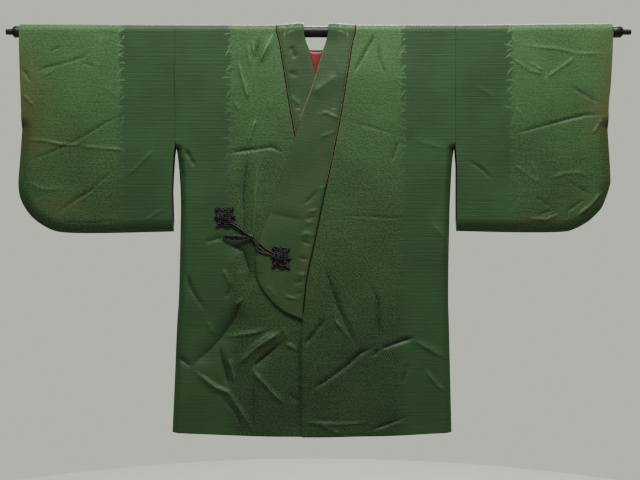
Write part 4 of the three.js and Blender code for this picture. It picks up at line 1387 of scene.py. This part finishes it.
# ---------------------------------------------------------------- the rod
def turned(name, profile, material, segments=96):
    """A piece turned round the rod's axis. Its profile is (x, radius)."""
    around = np.arange(segments) / segments * 2 * math.pi
    rings = [np.stack([np.full(segments, along), radius * np.cos(around),
                       radius * np.sin(around)], axis=-1) for along, radius in profile]
    points = np.concatenate(rings + [[(profile[0][0], 0, 0)], [(profile[-1][0], 0, 0)]]) * MM
    piece = mesh_object(name, points, ring_faces(len(profile), segments), [material])
    if profile[-1][0] > profile[0][0]:
        piece.data.flip_normals()
    piece.data.set_sharp_from_angle(angle=math.radians(35))
    return piece


# The rod's ends: how far out from the rod's end, and radius.
CAP_RIGHT = [(0, 12.4), (0.5, 12.75), (10, 12.75), (12, 12.3), (13.7, 11), (14.7, 9.4),
             (15, 8), (15.2, 6.5), (29.9, 6.5), (30.4, 6.0)]
CAP_LEFT = [(0, 12.4), (0.5, 12.75), (17.6, 12.75), (18.2, 12.4), (21.8, 9.8), (22, 9.3),
            (22.2, 6.5), (40.7, 6.5), (41.2, 6.0)]


def rod_pieces():
    inner = ROD_END_X - ROD_EDGE
    rod = turned("rod_tube_smooth", [(-ROD_END_X, ROD_EDGE_RADIUS), (-inner, ROD_RADIUS),
                                     (inner, ROD_RADIUS), (ROD_END_X, ROD_EDGE_RADIUS)],
                 PAINT)
    start = ROD_END_X + GAP
    caps = [turned("rod_cap_" + HAND_NAME[hand],
                   [(hand * (start + along), radius) for along, radius in profile], PAINT)
            for hand, profile in ((RIGHT, CAP_RIGHT), (LEFT, CAP_LEFT))]
    return [rod] + caps


# ---------------------------------------------------------------- camera, light and stage
# The view is in millimetres, the floor and the lights in metres.
VIEW_CENTRE = (8.8, -16.0, -461.2)
VIEW_WIDTH = 1408.0
CAMERA_AWAY = 2200.0
SENSOR = 36.0
FLOOR_Z = -1.36
FLOOR_RADIUS, FLOOR_SIDES = 1.9, 48


def camera():
    data = bpy.data.cameras.new("camera")
    data.sensor_width = SENSOR
    data.lens = SENSOR * CAMERA_AWAY / VIEW_WIDTH
    thing = add_object("camera", data)
    thing.location = (VIEW_CENTRE[0] * MM, (VIEW_CENTRE[1] - CAMERA_AWAY) * MM,
                      VIEW_CENTRE[2] * MM)
    thing.rotation_euler = (math.radians(90), 0, 0)
    bpy.context.scene.camera = thing


def area_light(name, place, target, size, power, tint=(1, 1, 1)):
    data = bpy.data.lights.new(name, "AREA")
    data.shape = "RECTANGLE"
    data.size, data.size_y = size
    data.energy = power
    data.color = tint
    thing = add_object(name, data)
    thing.location = place
    aim = Vector(target) - Vector(place)
    thing.rotation_euler = aim.to_track_quat("-Z", "Y").to_euler()
    thing.visible_camera = False


def lights():
    area_light("ceiling", (0.10, -1.3, 1.8), (0.0, 0.0, -0.4), (2.2, 0.6), 198, (1, 1, 0.96))
    area_light("front_fill", (0.9, -3.2, 0.4), (0, 0, -0.5), (2.4, 1.8), 6, (0.97, 1, 1))
    area_light("back_fill", (0.3, 1.6, 1.7), (0, 0, -0.4), (2.2, 0.8), 185, (1, 1, 1))


# The room's brightness by height: place on the ramp (0 straight down, 1 straight up), level.
ROOM = [(0.0, 0.10), (0.30, 0.30), (0.40, 0.86), (0.60, 1.0), (0.75, 1.25), (1.0, 1.6)]
ROOM_LIGHT, ROOM_BACKDROP = 0.85, 0.90


def world():
    """A pale room that is brighter overhead and darker underfoot."""
    studio = bpy.data.worlds.new("studio")
    bpy.context.scene.world = studio
    g = Graph(studio)
    height = g.separate(g.out("Generated", "ShaderNodeTexCoord"))[2] * 0.5 + 0.5
    ramp = g.node("ShaderNodeValToRGB", {"Fac": height})
    ramp.color_ramp.interpolation = "EASE"
    elements = ramp.color_ramp.elements
    for position, _ in ROOM[2:]:
        elements.new(position)
    for element, (position, level) in zip(elements, ROOM):
        element.position = position
        element.color = (level / 2, level / 2, level / 2, 1.0)
    light = Value(g, ramp.outputs["Color"]) * ROOM_LIGHT
    strength = g.out("Result", "ShaderNodeMix", {
        "Factor": g.out("Is Camera Ray", "ShaderNodeLightPath"), "A": light,
        "B": ROOM_BACKDROP})
    background = g.tree.nodes["Background"]
    g.put(background.inputs["Color"], colour(214, 216, 202))
    g.put(background.inputs["Strength"], strength)


def floor():
    around = np.arange(FLOOR_SIDES) / FLOOR_SIDES * 2 * math.pi
    ring = np.stack([FLOOR_RADIUS * np.cos(around), FLOOR_RADIUS * np.sin(around),
                     np.full(FLOOR_SIDES, FLOOR_Z)], axis=-1)
    mesh_object("floor", ring, [list(range(FLOOR_SIDES))], [floor_material()])


# ---------------------------------------------------------------- assembly
def place(piece, slot, *nodes):
    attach(piece, "root")
    if nodes:
        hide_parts(*nodes)
    return piece


def main():
    camera()
    lights()
    world()
    floor()

    rod_tube, rod_right, rod_left = rod_pieces()
    place(rod_tube, "black_paint", "rod_tube")
    place(rod_right, "black_paint", "rod_end_right")
    place(rod_left, "black_paint", "rod_end_left")

    for hand, node in ((RIGHT, "body_right"), (LEFT, "body_left")):
        piece, grid = body_half(hand)
        place(piece, "coat_silk", node)
    for name, node, shape, part in (
            ("coat_sleeve_right", "sleeve_right", SLEEVE_RIGHT, SLEEVE_FORM_RIGHT),
            ("coat_sleeve_left", "sleeve_left", SLEEVE_LEFT, SLEEVE_FORM_LEFT)):
        piece, grid = sleeve(name, shape, part)
        place(piece, "coat_silk", node)

    band, grid, length = collar()
    place(band, "band_silk", "collar")

    lining, grid = lining_behind_neck()
    place(lining, "lining_silk", "lining_back")

    place(piping(RIGHT, UPPER_ROW), "piping_silk", "piping_right")
    place(piping(LEFT, 1), "piping_silk", "piping_left")
    place(seam_edging(RIGHT, UPPER_ROW), "piping_silk")
    place(seam_edging(LEFT, UPPER_ROW), "piping_silk")
    place(free_edge_piping(), "piping_silk")

    place(flower_knot("flower_knot_right", x=-200, z=-410, stand=CLOTH, reach=27.5,
                      stretch=(1.0, 1.0), turn=0.84), "braid", "knot_right")
    place(flower_knot("flower_knot_left", x=-77, z=-500, stand=LAP + BAND, reach=28.5,
                      stretch=(0.90, 1.08), turn=0.74), "braid", "knot_left")
    place(button(x=-139, z=-456, out=6.6, radius=4.6), "braid", "button_ball")
    for name in CORDS:
        place(fastener_cord(name), "braid", name)


main()
